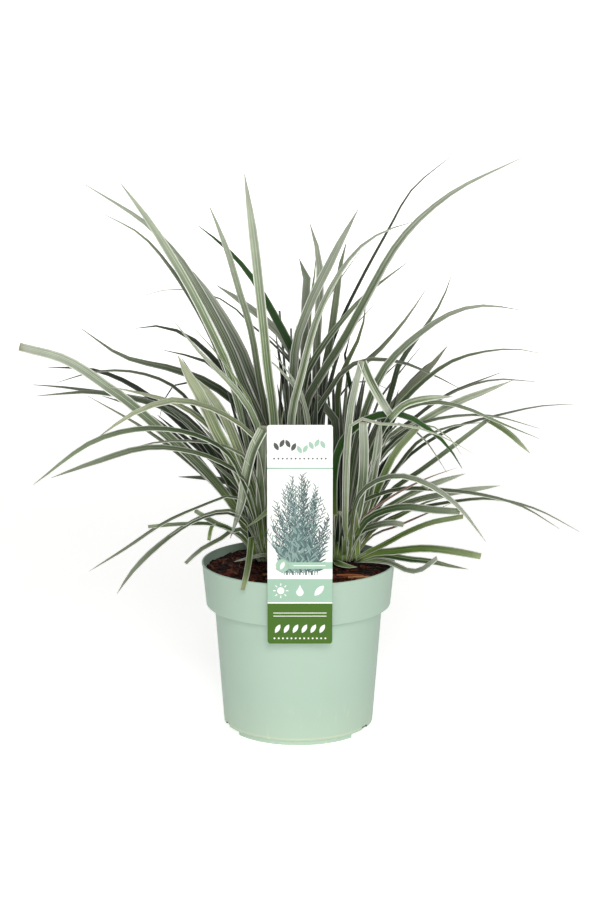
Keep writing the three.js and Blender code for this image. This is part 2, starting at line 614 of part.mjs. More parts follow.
// A leaf's half width at a share of its length
function halfWidth(blade, share) {
  const opened = Math.min(1, share / sheathShare);
  const sheath = blade.loose ? 1 : sheathWidth + (1 - sheathWidth) * opened;
  const taper = Math.max(0, (share - blade.taper) / (1 - blade.taper));
  const tip = blade.cut ? 1 - cutTaper[0] * taper ** cutTaper[1] : 1 - taper ** tipPower;
  return (blade.width / 2) * sheath * tip;
}

// The way a leaf's face points where it is turned up by an angle from the eye
function facing(point, tangent, turn, leftwards) {
  const sight = point.clone().sub(eye).normalize();
  const upward = tangent.clone().cross(sight).normalize().multiplyScalar(leftwards ? -1 : 1);
  const front = sight.negate().projectOnPlane(tangent).normalize();
  return front.multiplyScalar(Math.cos(turn)).addScaledVector(upward, Math.sin(turn));
}

// A leaf is a long three-sided solid: a flat face above and a keel below
function leafSolid(blade, row) {
  const line = middleLine(blade, row);
  const tangents = line.map((point, i) => line[Math.min(i + 1, line.length - 1)].clone()
    .sub(line[Math.max(i - 1, 0)]).normalize());
  const lengths = line.map((point, i) => (i === 0 ? 0 : point.distanceTo(line[i - 1])));
  const total = lengths.reduce((sum, length) => sum + length, 0);
  const leftwards = line.at(-1).x < line[0].x;
  const vertices = [];
  let travelled = 0;
  const last = line.length - 1;
  for (let i = 0; i <= last; i += 1) {
    travelled += lengths[i];
    const share = travelled / total;
    if (i === last && !blade.cut) {
      vertices.push(line[i]);
      break;
    }
    const turn = THREE.MathUtils.degToRad(blade.turn + blade.twist * share * share);
    const face = facing(line[i], tangents[i], turn, leftwards);
    const half = halfWidth(blade, share);
    const side = tangents[i].clone().cross(face).multiplyScalar(half);
    const keel = keelDepth * Math.sqrt(Math.max(half / (blade.width / 2), keelFloor));
    vertices.push(line[i].clone().sub(side), line[i].clone().add(side));
    vertices.push(line[i].clone().addScaledVector(face, -keel));
  }
  const index = [0, 2, 1];
  const rings = Math.floor(vertices.length / 3);
  for (let i = 0; i + 1 < rings; i += 1) {
    for (let k = 0; k < 3; k += 1) {
      const [a, b] = [i * 3 + k, i * 3 + ((k + 1) % 3)];
      index.push(a, b, b + 3, a, b + 3, a + 3);
    }
  }
  const end = (rings - 1) * 3;
  if (blade.cut) index.push(end, end + 1, end + 2);
  else index.push(end, end + 1, end + 3, end + 1, end + 2, end + 3, end + 2, end, end + 3);
  const geometry = new THREE.BufferGeometry().setFromPoints(vertices);
  geometry.setIndex(index);
  return solidOf(geometry);
}

// Leaves that fill a tuft's inside, placed by rule
function innerLeaves(tuft, feet) {
  const seed = tuft.name.length * seedSteps[0] + tuft.row * seedSteps[1] + Math.abs(tuft.side[0]);
  const random = numberStream(seed);
  const [near, far] = tuft.side;
  return Array.from({ length: tuft.inner }, (unused, i) => {
    const share = (i + 0.5) / tuft.inner;
    const foot = feet[0] + (feet[1] - feet[0]) * (innerFeet[0] + innerFeet[1] * share);
    const tipX = near + (far - near) * (share + (random() - 0.5) * innerScatter);
    const lean = (tuft.spread ?? 0) * random();
    const top = tuft.rise + innerTip * random();
    const tipZ = top - innerDroop * Math.abs(tipX) - spreadDroop * lean;
    const bow = innerBow[0] + innerBow[1] * random();
    const bend = [foot + (tipX - foot) * bow * innerReach, innerLevel + (tipZ - innerLevel) * bow];
    const width = innerWidth[0] + innerWidth[1] * random();
    const turn = innerTurn[0] + innerTurn[1] * random();
    return leaf(foot, width, turn, [bend, [tipX, tipZ]], { lean });
  });
}

// The crown that a tuft's leaves grow from, as a slim upright block with round ends
function crown(from, to, row, margin, bottom, top) {
  const radius = crownThickness / 2 + margin;
  const y = firstRow + rowGap * row;
  const shape = new THREE.Shape();
  shape.moveTo(from, y - radius);
  shape.absarc(to, y, radius, -Math.PI / 2, Math.PI / 2, false);
  shape.absarc(from, y, radius, Math.PI / 2, Math.PI * 1.5, false);
  return solidOf(extruded(shape, top - bottom, 3).translate(0, 0, bottom));
}

function tuftFeet(tuft) {
  const feet = tuft.leaves.filter((blade) => !blade.loose).map((blade) => blade.foot);
  if (feet.length < 2) feet.push(...(tuft.side[0] < 0 ? spareFeet.left : spareFeet.right));
  return [Math.min(...feet), Math.max(...feet)];
}

// The whole plant in its pot
const plant = new THREE.Group();

function addPart(name, geometry, color, roughness) {
  const material = new THREE.MeshStandardMaterial({ color, roughness, metalness: 0 });
  const mesh = new THREE.Mesh(geometry, material);
  mesh.name = name;
  plant.add(mesh);
}

// A tuft's leaves lie one behind another within their row; a loose leaf lies with the one before it
function layered(tuft, feet) {
  const blades = [...tuft.leaves, ...innerLeaves(tuft, feet)];
  const last = Math.max(1, blades.filter((blade) => !blade.loose).length - 1);
  let order = -1;
  return blades.map((blade) => {
    if (!blade.loose) order += 1;
    return leafSolid(blade, tuft.row + (order / last - 0.5) * rowSpread);
  });
}

const holes = [];
addPart('pot', pot(), '#b5d3bf', 0.45);
for (const tuft of tufts) {
  const feet = tuftFeet(tuft);
  const stock = crown(...feet, tuft.row, 0, crownBottom, crownTop);
  holes.push(crown(...feet, tuft.row, gap, crownBottom - gap, holeTop));
  const clump = geometryOf(joined([stock, ...layered(tuft, feet)]));
  addPart(tuft.name, largestShell(clump), tuft.color, 0.5);
}
addPart('soil', soil(holes), '#3a1f17', 0.95);
addPart('label', label(), '#f2f4f0', 0.4);

export default plant;
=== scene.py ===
"""Silver mondo grass in a round nursery pot, with a plant label hung on its rim.

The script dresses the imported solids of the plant. Every solid is replaced by a
finer piece of the same form: leaves with channels, stripes and sheaths, a
turned pot, crumbly potting mix and a printed label. Meshes, lights and the
camera are in metres in the model's frame, +Z up, with the label at the front
towards -Y. The leaf table and the classes of the plant's parts hold
millimetres, and every angle that they hold is in degrees.
"""

import logging
import math
import random
from dataclasses import dataclass, field
from enum import Enum
from typing import Iterator, Sequence

import bmesh
import bpy
from mathutils import Matrix, Vector, noise

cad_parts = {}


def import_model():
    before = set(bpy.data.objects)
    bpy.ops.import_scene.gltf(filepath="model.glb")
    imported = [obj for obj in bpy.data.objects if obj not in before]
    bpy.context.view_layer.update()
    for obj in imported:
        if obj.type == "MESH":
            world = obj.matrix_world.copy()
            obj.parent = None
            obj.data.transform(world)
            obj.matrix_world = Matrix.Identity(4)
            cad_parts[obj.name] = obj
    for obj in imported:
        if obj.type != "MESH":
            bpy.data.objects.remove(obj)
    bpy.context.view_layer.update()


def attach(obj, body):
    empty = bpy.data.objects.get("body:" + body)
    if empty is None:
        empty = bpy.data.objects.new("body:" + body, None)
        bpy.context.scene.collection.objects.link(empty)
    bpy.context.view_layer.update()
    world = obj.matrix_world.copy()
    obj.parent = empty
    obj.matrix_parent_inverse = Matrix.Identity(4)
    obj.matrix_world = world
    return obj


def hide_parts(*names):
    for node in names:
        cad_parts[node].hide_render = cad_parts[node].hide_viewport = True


MM = 0.001
LOG = logging.getLogger("mondo_grass")

# The number stream's word and step, and the corners of a square
WORD = 0xFFFFFFFF
STREAM_STEP = 0x6D2B79F5
CORNERS = ((-1, -1), (1, -1), (1, 1), (-1, 1))

Colour = tuple[float, float, float, float]
Point = tuple[float, ...]
Mesh = bmesh.types.BMesh
Vert = bmesh.types.BMVert
Edge = bmesh.types.BMEdge
Face = bmesh.types.BMFace
Material = bpy.types.Material
Object = bpy.types.Object


def paint(code: str) -> Colour:
    """Turns a screen colour into the linear colour that shaders use.

    Args:
        code: Six hexadecimal digits, red, green and blue.

    Returns:
        The linear colour with an alpha of 1.
    """
    channels = [int(code[i:i + 2], 16) / 255 for i in (0, 2, 4)]
    linear = [c / 12.92 if c <= 0.04045 else ((c + 0.055) / 1.055) ** 2.4 for c in channels]
    return (linear[0], linear[1], linear[2], 1.0)


def smooth_step(value: float, low: float, high: float) -> float:
    """Returns 0 below low, 1 above high and a smooth rise between."""
    share = min(1.0, max(0.0, (value - low) / (high - low)))
    return share * share * (3 - 2 * share)


def number_stream(seed: int) -> Iterator[float]:
    """Yields the repeatable numbers from 0 to 1 that also place the solid leaves.

    Args:
        seed: The whole number that the stream starts from.

    Yields:
        The next number of the stream.
    """
    state = seed & WORD
    while True:
        state = (state + STREAM_STEP) & WORD
        mixed = (state ^ (state >> 15)) * (1 | state) & WORD
        mixed ^= (mixed + ((mixed ^ (mixed >> 7)) * (61 | mixed) & WORD)) & WORD
        yield (mixed ^ (mixed >> 14)) / (WORD + 1)


class Wire:
    """An output socket that takes part in shader arithmetic."""

    def __init__(self, recipe: "Recipe", source: bpy.types.NodeSocket) -> None:
        """Keeps the recipe that owns the node, and the socket."""
        self.recipe = recipe
        self.source = source

    def __add__(self, other: object) -> "Wire":
        """Adds."""
        return self.recipe.maths("ADD", self, other)

    __radd__ = __add__

    def __mul__(self, other: object) -> "Wire":
        """Multiplies."""
        return self.recipe.maths("MULTIPLY", self, other)

    __rmul__ = __mul__

    def __sub__(self, other: object) -> "Wire":
        """Subtracts the other value."""
        return self.recipe.maths("SUBTRACT", self, other)

    def __rsub__(self, other: object) -> "Wire":
        """Is subtracted from the other value."""
        return self.recipe.maths("SUBTRACT", other, self)

    def __abs__(self) -> "Wire":
        """Drops the sign."""
        return self.recipe.maths("ABSOLUTE", self)


class Recipe:
    """Builds one material from nodes."""

    def __init__(self, name: str) -> None:
        """Starts a material with a Principled shader.

        Args:
            name: The material's name.
        """
        self.material = bpy.data.materials.new(name)
        self.material.use_nodes = True
        self.tree = self.material.node_tree
        self.tree.nodes.clear()
        self.shader = self.tree.nodes.new("ShaderNodeBsdfPrincipled")
        output = self.tree.nodes.new("ShaderNodeOutputMaterial")
        self.tree.links.new(self.shader.outputs["BSDF"], output.inputs["Surface"])

    def feed(self, socket: bpy.types.NodeSocket, value: object) -> None:
        """Links a wire to a socket, or sets the socket to a plain value.

        Args:
            socket: The socket to feed.
            value: A wire or a plain value.
        """
        if isinstance(value, Wire):
            self.tree.links.new(value.source, socket)
        else:
            socket.default_value = value

    def node(self, kind: str, settings: dict[str, object], inputs: dict[object, object],
             output: object = 0) -> Wire:
        """Adds a node.

        Args:
            kind: The node type after "ShaderNode".
            settings: The node's own properties, set before its sockets.
            inputs: A value or wire for each input socket by name or number.
            output: The name or number of the socket to hand back.

        Returns:
            The chosen output as a wire.
        """
        made = self.tree.nodes.new("ShaderNode" + kind)
        for key, value in settings.items():
            setattr(made, key, value)
        for key, value in inputs.items():
            self.feed(made.inputs[key], value)
        return Wire(self, made.outputs[output])

    def maths(self, operation: str, *values: object) -> Wire:
        """Adds a Math node on plain numbers or wires."""
        return self.node("Math", {"operation": operation}, dict(enumerate(values)))

    def step(self, value: Wire, low: float, high: float) -> Wire:
        """Rises smoothly from 0 at low to 1 at high."""
        return self.node("MapRange", {"interpolation_type": "SMOOTHSTEP"},
                         {"Value": value, "From Min": low, "From Max": high})

    def blend(self, share: object, first: object, second: object) -> Wire:
        """Mixes two colours, first at 0 and second at 1."""
        return self.node("Mix", {"data_type": "RGBA"}, {0: share, 6: first, 7: second}, 2)

    def shade(self, colour: Wire, value: object) -> Wire:
        """Scales a colour's brightness by a number or wire."""
        return self.node("VectorMath", {"operation": "SCALE"}, {0: colour, "Scale": value})

    def vector(self, x: object, y: object, z: object) -> Wire:
        """Joins three values to a vector."""
        return self.node("CombineXYZ", {}, {0: x, 1: y, 2: z})

    def parts(self, vector: Wire) -> tuple[Wire, Wire, Wire]:
        """Splits a vector into its three values.

        Args:
            vector: The vector.

        Returns:
            Its X, Y and Z.
        """
        split = self.tree.nodes.new("ShaderNodeSeparateXYZ")
        self.feed(split.inputs[0], vector)
        return tuple(Wire(self, split.outputs[i]) for i in range(3))

    def clouds(self, where: Wire, scale: float, detail: float = 2.0) -> Wire:
        """Reads soft noise from 0 to 1 at a place."""
        return self.node("TexNoise", {}, {"Vector": where, "Scale": scale, "Detail": detail})

    def place(self) -> Wire:
        """Reads the piece's own coordinates in metres."""
        return self.node("TexCoord", {}, {}, "Object")

    def stretched(self, where: Wire, scale: Point) -> Wire:
        """Scales a place along each axis, so that noise read there is drawn out."""
        return self.node("Mapping", {}, {"Vector": where, "Scale": scale})

    def attribute(self, name: str) -> tuple[Wire, Wire]:
        """Reads a colour attribute and its alpha.

        Args:
            name: The attribute's name.

        Returns:
            The colour and the alpha.
        """
        read = self.tree.nodes.new("ShaderNodeAttribute")
        read.attribute_name = name
        return Wire(self, read.outputs["Color"]), Wire(self, read.outputs["Alpha"])

    def relief(self, height: Wire, strength: float, distance: float) -> Wire:
        """Turns a height into a bumped normal."""
        return self.node("Bump", {}, {"Height": height, "Strength": strength, "Distance": distance})

    def finish(self, **inputs: object) -> Material:
        """Feeds the shader's sockets.

        Args:
            **inputs: A value or wire for each socket, with _ for a space in its name.

        Returns:
            The material.
        """
        for name, value in inputs.items():
            self.feed(self.shader.inputs[name.replace("_", " ")], value)
        return self.material


class Tone(Enum):
    """How a leaf is coloured: its body, its stripes and the share that they cover."""

    SILVER = ("5A6B4A", "C3CBB3", 0.45)
    PALE = ("667B50", "CCD4B8", 0.50)
    GREY = ("43552F", "A0AA8E", 0.36)
    GREEN = ("35502A", "9FAB82", 0.36)
    DEEP = ("11200C", "55663F", 0.20)
    VIVID = ("1A4200", "2E6600", 0.10)
    LIME = ("4F7030", "A0B668", 0.40)
    CREAM = ("5A7040", "C6CCA2", 0.42)
    OLIVE = ("506A30", "9FB06A", 0.36)
    DRY = ("84645A", "B3947E", 0.30)
    SHEATH = ("6F8246", "C0C793", 0.40)

    @property
    def body(self) -> Colour:
        """The leaf's main colour."""
        return paint(self.value[0])

    @property
    def stripe(self) -> Colour:
        """The colour of its margins and stripes."""
        return paint(self.value[1])

    @property
    def striped(self) -> float:
        """The share of its width that is striped."""
        return self.value[2]


class Style(Enum):
    """How a leaf's ends and joints are made."""

    TAPERED = "tapered"
    CUT = "cut"
    LOOSE = "loose"
    LOOSE_CUT = "loose cut"

    @property
    def cut(self) -> bool:
        """Whether the leaf ends bluntly."""
        return self in (Style.CUT, Style.LOOSE_CUT)

    @property
    def loose(self) -> bool:
        """Whether the leaf starts at its path's first point, where another leaf folds."""
        return self in (Style.LOOSE, Style.LOOSE_CUT)


@dataclass(frozen=True)
class Rows:
    """The rows of leaves that lie one behind another, in millimetres.

    Row 0 stands at the depth first, and the next ones a gap behind each other.
    Away from the crown, which has its middle and its reach along X and Z, a
    leaf leans back by its row's lean. The front rows lean forwards.
    """

    count: int = 7
    first: float = 8.0
    gap: float = 9.0
    spread: float = 0.4
    front_lean: float = -0.8
    back_lean: float = 0.5
    middle: Point = (4.0, 166.4)
    reach: Point = (50.0, 14.0)
    root_height: float = 163.9
    path_level: float = 1.4
    spare_feet_left: Point = (-36.0, -16.0)
    spare_feet_right: Point = (34.0, 54.0)
    eye: Vector = field(default_factory=lambda: Vector((0.0, -2000.0, 666.4)))

    def depth(self, row: float, x: float, z: float, lean: float) -> float:
        """Works out how far behind y = 0 a leaf lies.

        Args:
            row: The leaf's row, with a fraction for its place in the row.
            x: Where the point is seen along X in the plane y = 0.
            z: How high it is seen there.
            lean: What the leaf adds to its row's lean.

        Returns:
            The depth along Y.
        """
        slope = self.front_lean + (self.back_lean - self.front_lean) * row / (self.count - 1)
        across = max(0.0, abs(x - self.middle[0]) - self.reach[0])
        along = max(0.0, abs(z - self.middle[1]) - self.reach[1])
        return self.first + self.gap * row + (slope + lean) * math.hypot(across, along)

    def pushed_back(self, x: float, z: float, y: float) -> Vector:
        """Moves a point of the plane y = 0 along its sight line.

        Args:
            x: Where the point is seen along X.
            z: How high it is seen.
            y: The depth to move it to.

        Returns:
            The moved point.
        """
        share = (y - self.eye.y) / -self.eye.y
        across = self.eye.x + (x - self.eye.x) * share
        return Vector((across, y, self.eye.z + (z - self.eye.z) * share))

    def root(self, foot: float, row: float) -> Point:
        """Returns where a leaf's root is seen in the plane y = 0."""
        share = (self.first + self.gap * row - self.eye.y) / -self.eye.y
        return (foot / share, self.eye.z + (self.root_height - self.eye.z) / share)


ROWS = Rows()


def centripetal(points: Sequence[Vector], per_span: int) -> list[Vector]:
    """Draws a centripetal Catmull-Rom curve through points.

    Args:
        points: The points to pass through.
        per_span: How many steps to take between two of them.

    Returns:
        The points along the curve, both ends included.
    """
    padded = [2 * points[0] - points[1], *points, 2 * points[-1] - points[-2]]
    line = [points[0].copy()]
    for a, b, c, d in zip(padded, padded[1:], padded[2:], padded[3:]):
        spans = ((a, b), (b, c), (c, d))
        ab, bc, cd = (max((q - p).length_squared ** 0.25, 1e-6) for p, q in spans)
        leave = ((b - a) / ab - (c - a) / (ab + bc) + (c - b) / bc) * bc
        arrive = ((c - b) / bc - (d - b) / (bc + cd) + (d - c) / cd) * bc
        for i in range(1, per_span + 1):
            t = i / per_span
            line.append(b + leave * t + (3 * (c - b) - 2 * leave - arrive) * t ** 2
                        + (2 * (b - c) + leave + arrive) * t ** 3)
    return line


def evenly(line: Sequence[Vector], count: int) -> list[Vector]:
    """Spaces points evenly along a line.

    Args:
        line: The line's points.
        count: How many equal lengths to cut it into.

    Returns:
        count + 1 points.
    """
    travelled = [0.0]
    for a, b in zip(line, line[1:]):
        travelled.append(travelled[-1] + (b - a).length)
    spaced, at = [], 0
    for i in range(count + 1):
        want = travelled[-1] * i / count
        while at + 2 < len(travelled) and travelled[at + 1] < want:
            at += 1
        span = travelled[at + 1] - travelled[at]
        share = min(1.0, (want - travelled[at]) / max(span, 1e-9))
        spaced.append(line[at].lerp(line[at + 1], share))
    return spaced


@dataclass(frozen=True)
class LeafShape:
    """How every leaf is made: lengths in millimetres, the rest as shares of its width or length."""

    root_length: float = 60.0
    curve_steps: int = 8
    step: float = 13.0
    least_steps: int = 6
    most_steps: int = 26
    strips: int = 4
    sheath_width: float = 0.62
    sheath_share: float = 0.3
    tip_taper: Point = (0.965, 1.9)
    cut_taper: Point = (0.18, 4.0)
    sheath_fold: float = 0.5
    fold_share: float = 0.22
    deepest: float = 0.9
    thickness: float = 0.45
    tone_ease: Point = (0.9, 0.2)


SHAPE = LeafShape()


@dataclass(frozen=True)
class Leaf:
    """One leaf.

    The path runs from low to high, as seen in the plane y = 0 from the eye of
    Rows. foot is where the leaf leaves its crown along X, turn is how far its
    face is turned up in degrees, lean adds to its row's lean, and twist turns
    it along its length. taper is the share of the length at which the leaf
    starts to narrow, and channel is how deep it is folded for its width. A
    point with a third number gives its own depth.
    """

    foot: float
    width: float
    turn: float
    tone: Tone
    path: tuple[Point, ...]
    style: Style = Style.TAPERED
    lean: float = 0.0
    twist: float = 0.0
    taper: float = 0.5
    channel: float = 0.16

    @property
    def length(self) -> float:
        """The rough length of the leaf in millimetres."""
        spans = zip(self.path, self.path[1:])
        return sum(math.dist(a[:2], b[:2]) for a, b in spans) + SHAPE.root_length

    def middle_line(self, row: float) -> list[Vector]:
        """Draws the leaf's middle line.

        Args:
            row: The row that the leaf lies in.

        Returns:
            Even points from root to tip, in millimetres.
        """
        def row_depth(x: float, z: float) -> float:
            """Returns the depth of this leaf where it is seen at (x, z)."""
            return ROWS.depth(row, x, z, self.lean)

        lifted = [(x, z + ROWS.path_level, *own) for x, z, *own in self.path]
        seen = lifted if self.style.loose else [ROWS.root(self.foot, row), *lifted]
        free = any(len(point) == 3 for point in self.path)
        controls = [Vector((x, own[0] if own else row_depth(x, z), z)) for x, z, *own in seen]
        curve = centripetal(controls, SHAPE.curve_steps)
        line = [ROWS.pushed_back(at.x, at.z, at.y if free else row_depth(at.x, at.z)) for at in curve]
        steps = round(self.length / SHAPE.step)
        return evenly(line, max(SHAPE.least_steps, min(SHAPE.most_steps, steps)))

    def half_width(self, share: float) -> float:
        """Works out how wide the leaf is.

        Args:
            share: The share of its length from the root.

        Returns:
            Half its width there in millimetres.
        """
        sheath = 1.0
        if not self.style.loose:
            opened = min(1.0, share / SHAPE.sheath_share)
            sheath = SHAPE.sheath_width + (1 - SHAPE.sheath_width) * opened
        taper = max(0.0, (share - self.taper) / (1 - self.taper))
        loss, power = SHAPE.cut_taper if self.style.cut else SHAPE.tip_taper
        return self.width / 2 * sheath * (1 - loss * taper ** power)

    def faces_of(self, line: Sequence[Vector]) -> list[tuple[Vector, Vector]]:
        """Works out how the leaf is turned along its middle line.

        Args:
            line: The middle line's points.

        Returns:
            The sideways and the outward direction at each point.
        """
        last = len(line) - 1
        side = -1 if line[-1].x < line[0].x else 1
        turned = []
        for i, at in enumerate(line):
            tangent = (line[min(i + 1, last)] - line[max(i - 1, 0)]).normalized()
            sight = (at - ROWS.eye).normalized()
            upward = tangent.cross(sight).normalized() * side
            front = (tangent * sight.dot(tangent) - sight).normalized()
            turn = math.radians(self.turn + self.twist * (i / last) ** 2)
            normal = front * math.cos(turn) + upward * math.sin(turn)
            turned.append((tangent.cross(normal).normalized(), normal))
        return turned

    def build(self, mesh: Mesh, row: float, shift: float) -> None:
        """Adds the leaf's blade to a mesh as one sheet with its colours and its own map.

        Args:
            mesh: The mesh to add to.
            row: The row that the leaf lies in.
            shift: A number from 0 to 1 that makes the leaf's pattern its own.
        """
        line = self.middle_line(row)
        turned = self.faces_of(line)
        last = len(line) - 1
        body = mesh.verts.layers.float_color["body_tone"]
        stripe = mesh.verts.layers.float_color["stripe_tone"]
        ease = SHAPE.tone_ease[0] + SHAPE.tone_ease[1] * shift
        main = [value * ease for value in self.tone.body[:3]]
        lines = self.tone.stripe[:3]
        sheet = bmesh.ops.create_grid(mesh, x_segments=SHAPE.strips, y_segments=last, size=0.5,
                                      calc_uvs=True)
        for vert in sheet["verts"]:
            side_share, along = vert.co.x * 2, vert.co.y + 0.5
            i = round(along * last)
            side, face = turned[i]
            half = self.half_width(along)
            fold = self.channel
            if not self.style.loose:
                fold += SHAPE.sheath_fold * (1 - smooth_step(along, 0.0, SHAPE.fold_share))
            dip = min(half * fold, SHAPE.deepest) * (1 - side_share ** 2)
            vert.co = (line[i] + side * half * side_share - face * dip) * MM
            vert[body] = (*main, self.tone.striped)
            vert[stripe] = (*lines, shift + self.style.loose)


def cut(foot: float, width: float, turn: float, tone: Tone, *path: Point) -> Leaf:
    """Makes a leaf that ends bluntly, from the fields of Leaf."""
    return Leaf(foot, width, turn, tone, path, Style.CUT)


def leaf(foot: float, width: float, turn: float, tone: Tone, *path: Point,
         style: Style = Style.TAPERED, lean: float = 0.0, twist: float = 0.0,
         taper: float = 0.5) -> Leaf:
    """Makes a leaf from the fields of Leaf, with its path's points one by one."""
    return Leaf(foot, width, turn, tone, path, style, lean, twist, taper)


@dataclass(frozen=True)
class InnerRule:
    """Where the leaves inside a tuft go: the start and range of what varies, or one size."""

    seed_steps: tuple[int, int] = (31, 97)
    feet: Point = (0.15, 0.7)
    scatter: float = 0.3
    tip: float = 70.0
    droop: float = 0.25
    spread_droop: float = 200.0
    bow: Point = (0.45, 0.1)
    reach: float = 0.55
    level: float = 165.0
    width: Point = (5.5, 2.5)
    turn: Point = (15.0, 25.0)
    tones: tuple[Tone, ...] = (Tone.DEEP, Tone.GREEN, Tone.DEEP)


@dataclass(frozen=True)
class SheathRule:
    """Where the short pale sheaths of a crown go, with the limits of what varies."""

    gap: float = 4.0
    least: int = 3
    flare: float = 1.02
    sway: Point = (-5.0, 5.0)
    tops: Point = (188.0, 224.0)
    bend_share: float = 0.4
    bend_height: float = 178.0
    widths: Point = (4.5, 7.0)
    turns: Point = (-10.0, 25.0)
    channel: float = 0.55
    tones: tuple[Tone, ...] = (Tone.SHEATH, Tone.GREEN, Tone.OLIVE, Tone.DEEP)


INNER = InnerRule()
SHEATHS = SheathRule()


@dataclass(frozen=True)
class Tuft:
    """One bunch of leaves with a common crown, which replaces the solid of the same name.

    inner is how many plain leaves fill its inside. Their tips are about as high
    as rise and lie between the two places of side along X, and they lean back
    by up to spread.
    """

    name: str
    slot: str
    row: int
    inner: int
    rise: float
    side: Point
    spread: float
    leaves: tuple[Leaf, ...]

    def feet(self) -> tuple[float, float]:
        """Finds how far the crown reaches along X.

        Returns:
            Its lowest and highest place in millimetres.
        """
        feet = [blade.foot for blade in self.leaves if not blade.style.loose]
        if len(feet) < 2:
            feet += ROWS.spare_feet_left if self.side[0] < 0 else ROWS.spare_feet_right
        return min(feet), max(feet)

    def inner_leaves(self) -> list[Leaf]:
        """Places the leaves that fill the tuft's inside, by the same rule as its solid.

        Returns:
            The leaves.
        """
        name_step, row_step = INNER.seed_steps
        seed = len(self.name) * name_step + self.row * row_step + round(abs(self.side[0]))
        numbers = number_stream(seed)
        low, high = self.feet()
        near, far = self.side
        made = []
        for i in range(self.inner):
            share = (i + 0.5) / self.inner
            foot = low + (high - low) * (INNER.feet[0] + INNER.feet[1] * share)
            tip_x = near + (far - near) * (share + (next(numbers) - 0.5) * INNER.scatter)
            lean = self.spread * next(numbers)
            top = self.rise + INNER.tip * next(numbers)
            tip_z = top - INNER.droop * abs(tip_x) - INNER.spread_droop * lean
            bow = INNER.bow[0] + INNER.bow[1] * next(numbers)
            bend = (foot + (tip_x - foot) * bow * INNER.reach, INNER.level + (tip_z - INNER.level) * bow)
            width = INNER.width[0] + INNER.width[1] * next(numbers)
            turn = INNER.turn[0] + INNER.turn[1] * next(numbers)
            tone = INNER.tones[i % len(INNER.tones)]
            made.append(leaf(foot, width, turn, tone, bend, (tip_x, tip_z), lean=lean))
        return made

    def sheaths(self, numbers: random.Random) -> list[Leaf]:
        """Wraps the crown in short pale sheaths.

        Args:
            numbers: The source of their small differences.

        Returns:
            The sheaths as short leaves.
        """
        low, high = self.feet()
        count = max(SHEATHS.least, round((high - low) / SHEATHS.gap))
        made = []
        for i in range(count):
            foot = low + (high - low) * i / (count - 1)
            tip = (foot * SHEATHS.flare + numbers.uniform(*SHEATHS.sway), numbers.uniform(*SHEATHS.tops))
            bend = (foot + (tip[0] - foot) * SHEATHS.bend_share, SHEATHS.bend_height)
            tone = numbers.choice(SHEATHS.tones)
            width = numbers.uniform(*SHEATHS.widths)
            turn = numbers.uniform(*SHEATHS.turns)
            made.append(Leaf(foot, width, turn, tone, (bend, tip), channel=SHEATHS.channel))
        return made

    def build(self, finish: Material, under: Material) -> Object:
        """Makes the tuft as one piece.

        Args:
            finish: The material of the leaves' upper faces.
            under: The material of their undersides.

        Returns:
            The finished piece.
        """
        numbers = random.Random(self.name)
        mesh = bmesh.new()
        mesh.verts.layers.float_color.new("body_tone")
        mesh.verts.layers.float_color.new("stripe_tone")
        mesh.loops.layers.uv.new("leaf_map")
        blades = [*self.leaves, *self.inner_leaves()]
        last = max(1, sum(not blade.style.loose for blade in blades) - 1)
        order = -1
        for blade in blades:
            order += 0 if blade.style.loose else 1
            blade.build(mesh, self.row + (order / last - 0.5) * ROWS.spread, numbers.random())
        for blade in self.sheaths(numbers):
            blade.build(mesh, self.row + numbers.uniform(-0.5, 0.5) * ROWS.spread, numbers.random())
        piece = piece_from(mesh, self.name + "_leaves", [finish, under])
        wall = piece.modifiers.new("leaf_thickness", "SOLIDIFY")
        wall.thickness = SHAPE.thickness * MM
        wall.offset = -1
        wall.material_offset = 1
        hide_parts(self.name)
        return piece


def piece_from(mesh: Mesh, name: str, finishes: Sequence[Material],
               sharp: float | None = None) -> Object:
    """Turns a bmesh into a smooth shaded piece that rides on the model.

    Args:
        mesh: The shape, which is freed.
        name: The piece's name.
        finishes: Its materials in slot order.
        sharp: The angle in degrees above which an edge stays sharp.

    Returns:
        The object.
    """
    data = bpy.data.meshes.new(name)
    mesh.to_mesh(data)
    mesh.free()
    for finish in finishes:
        data.materials.append(finish)
    data.shade_smooth()
    if sharp is not None:
        data.set_sharp_from_angle(angle=math.radians(sharp))
    piece = bpy.data.objects.new(name, data)
    bpy.context.scene.collection.objects.link(piece)
    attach(piece, "root")
    LOG.info("%s: %d faces", name, len(data.polygons))
    return piece


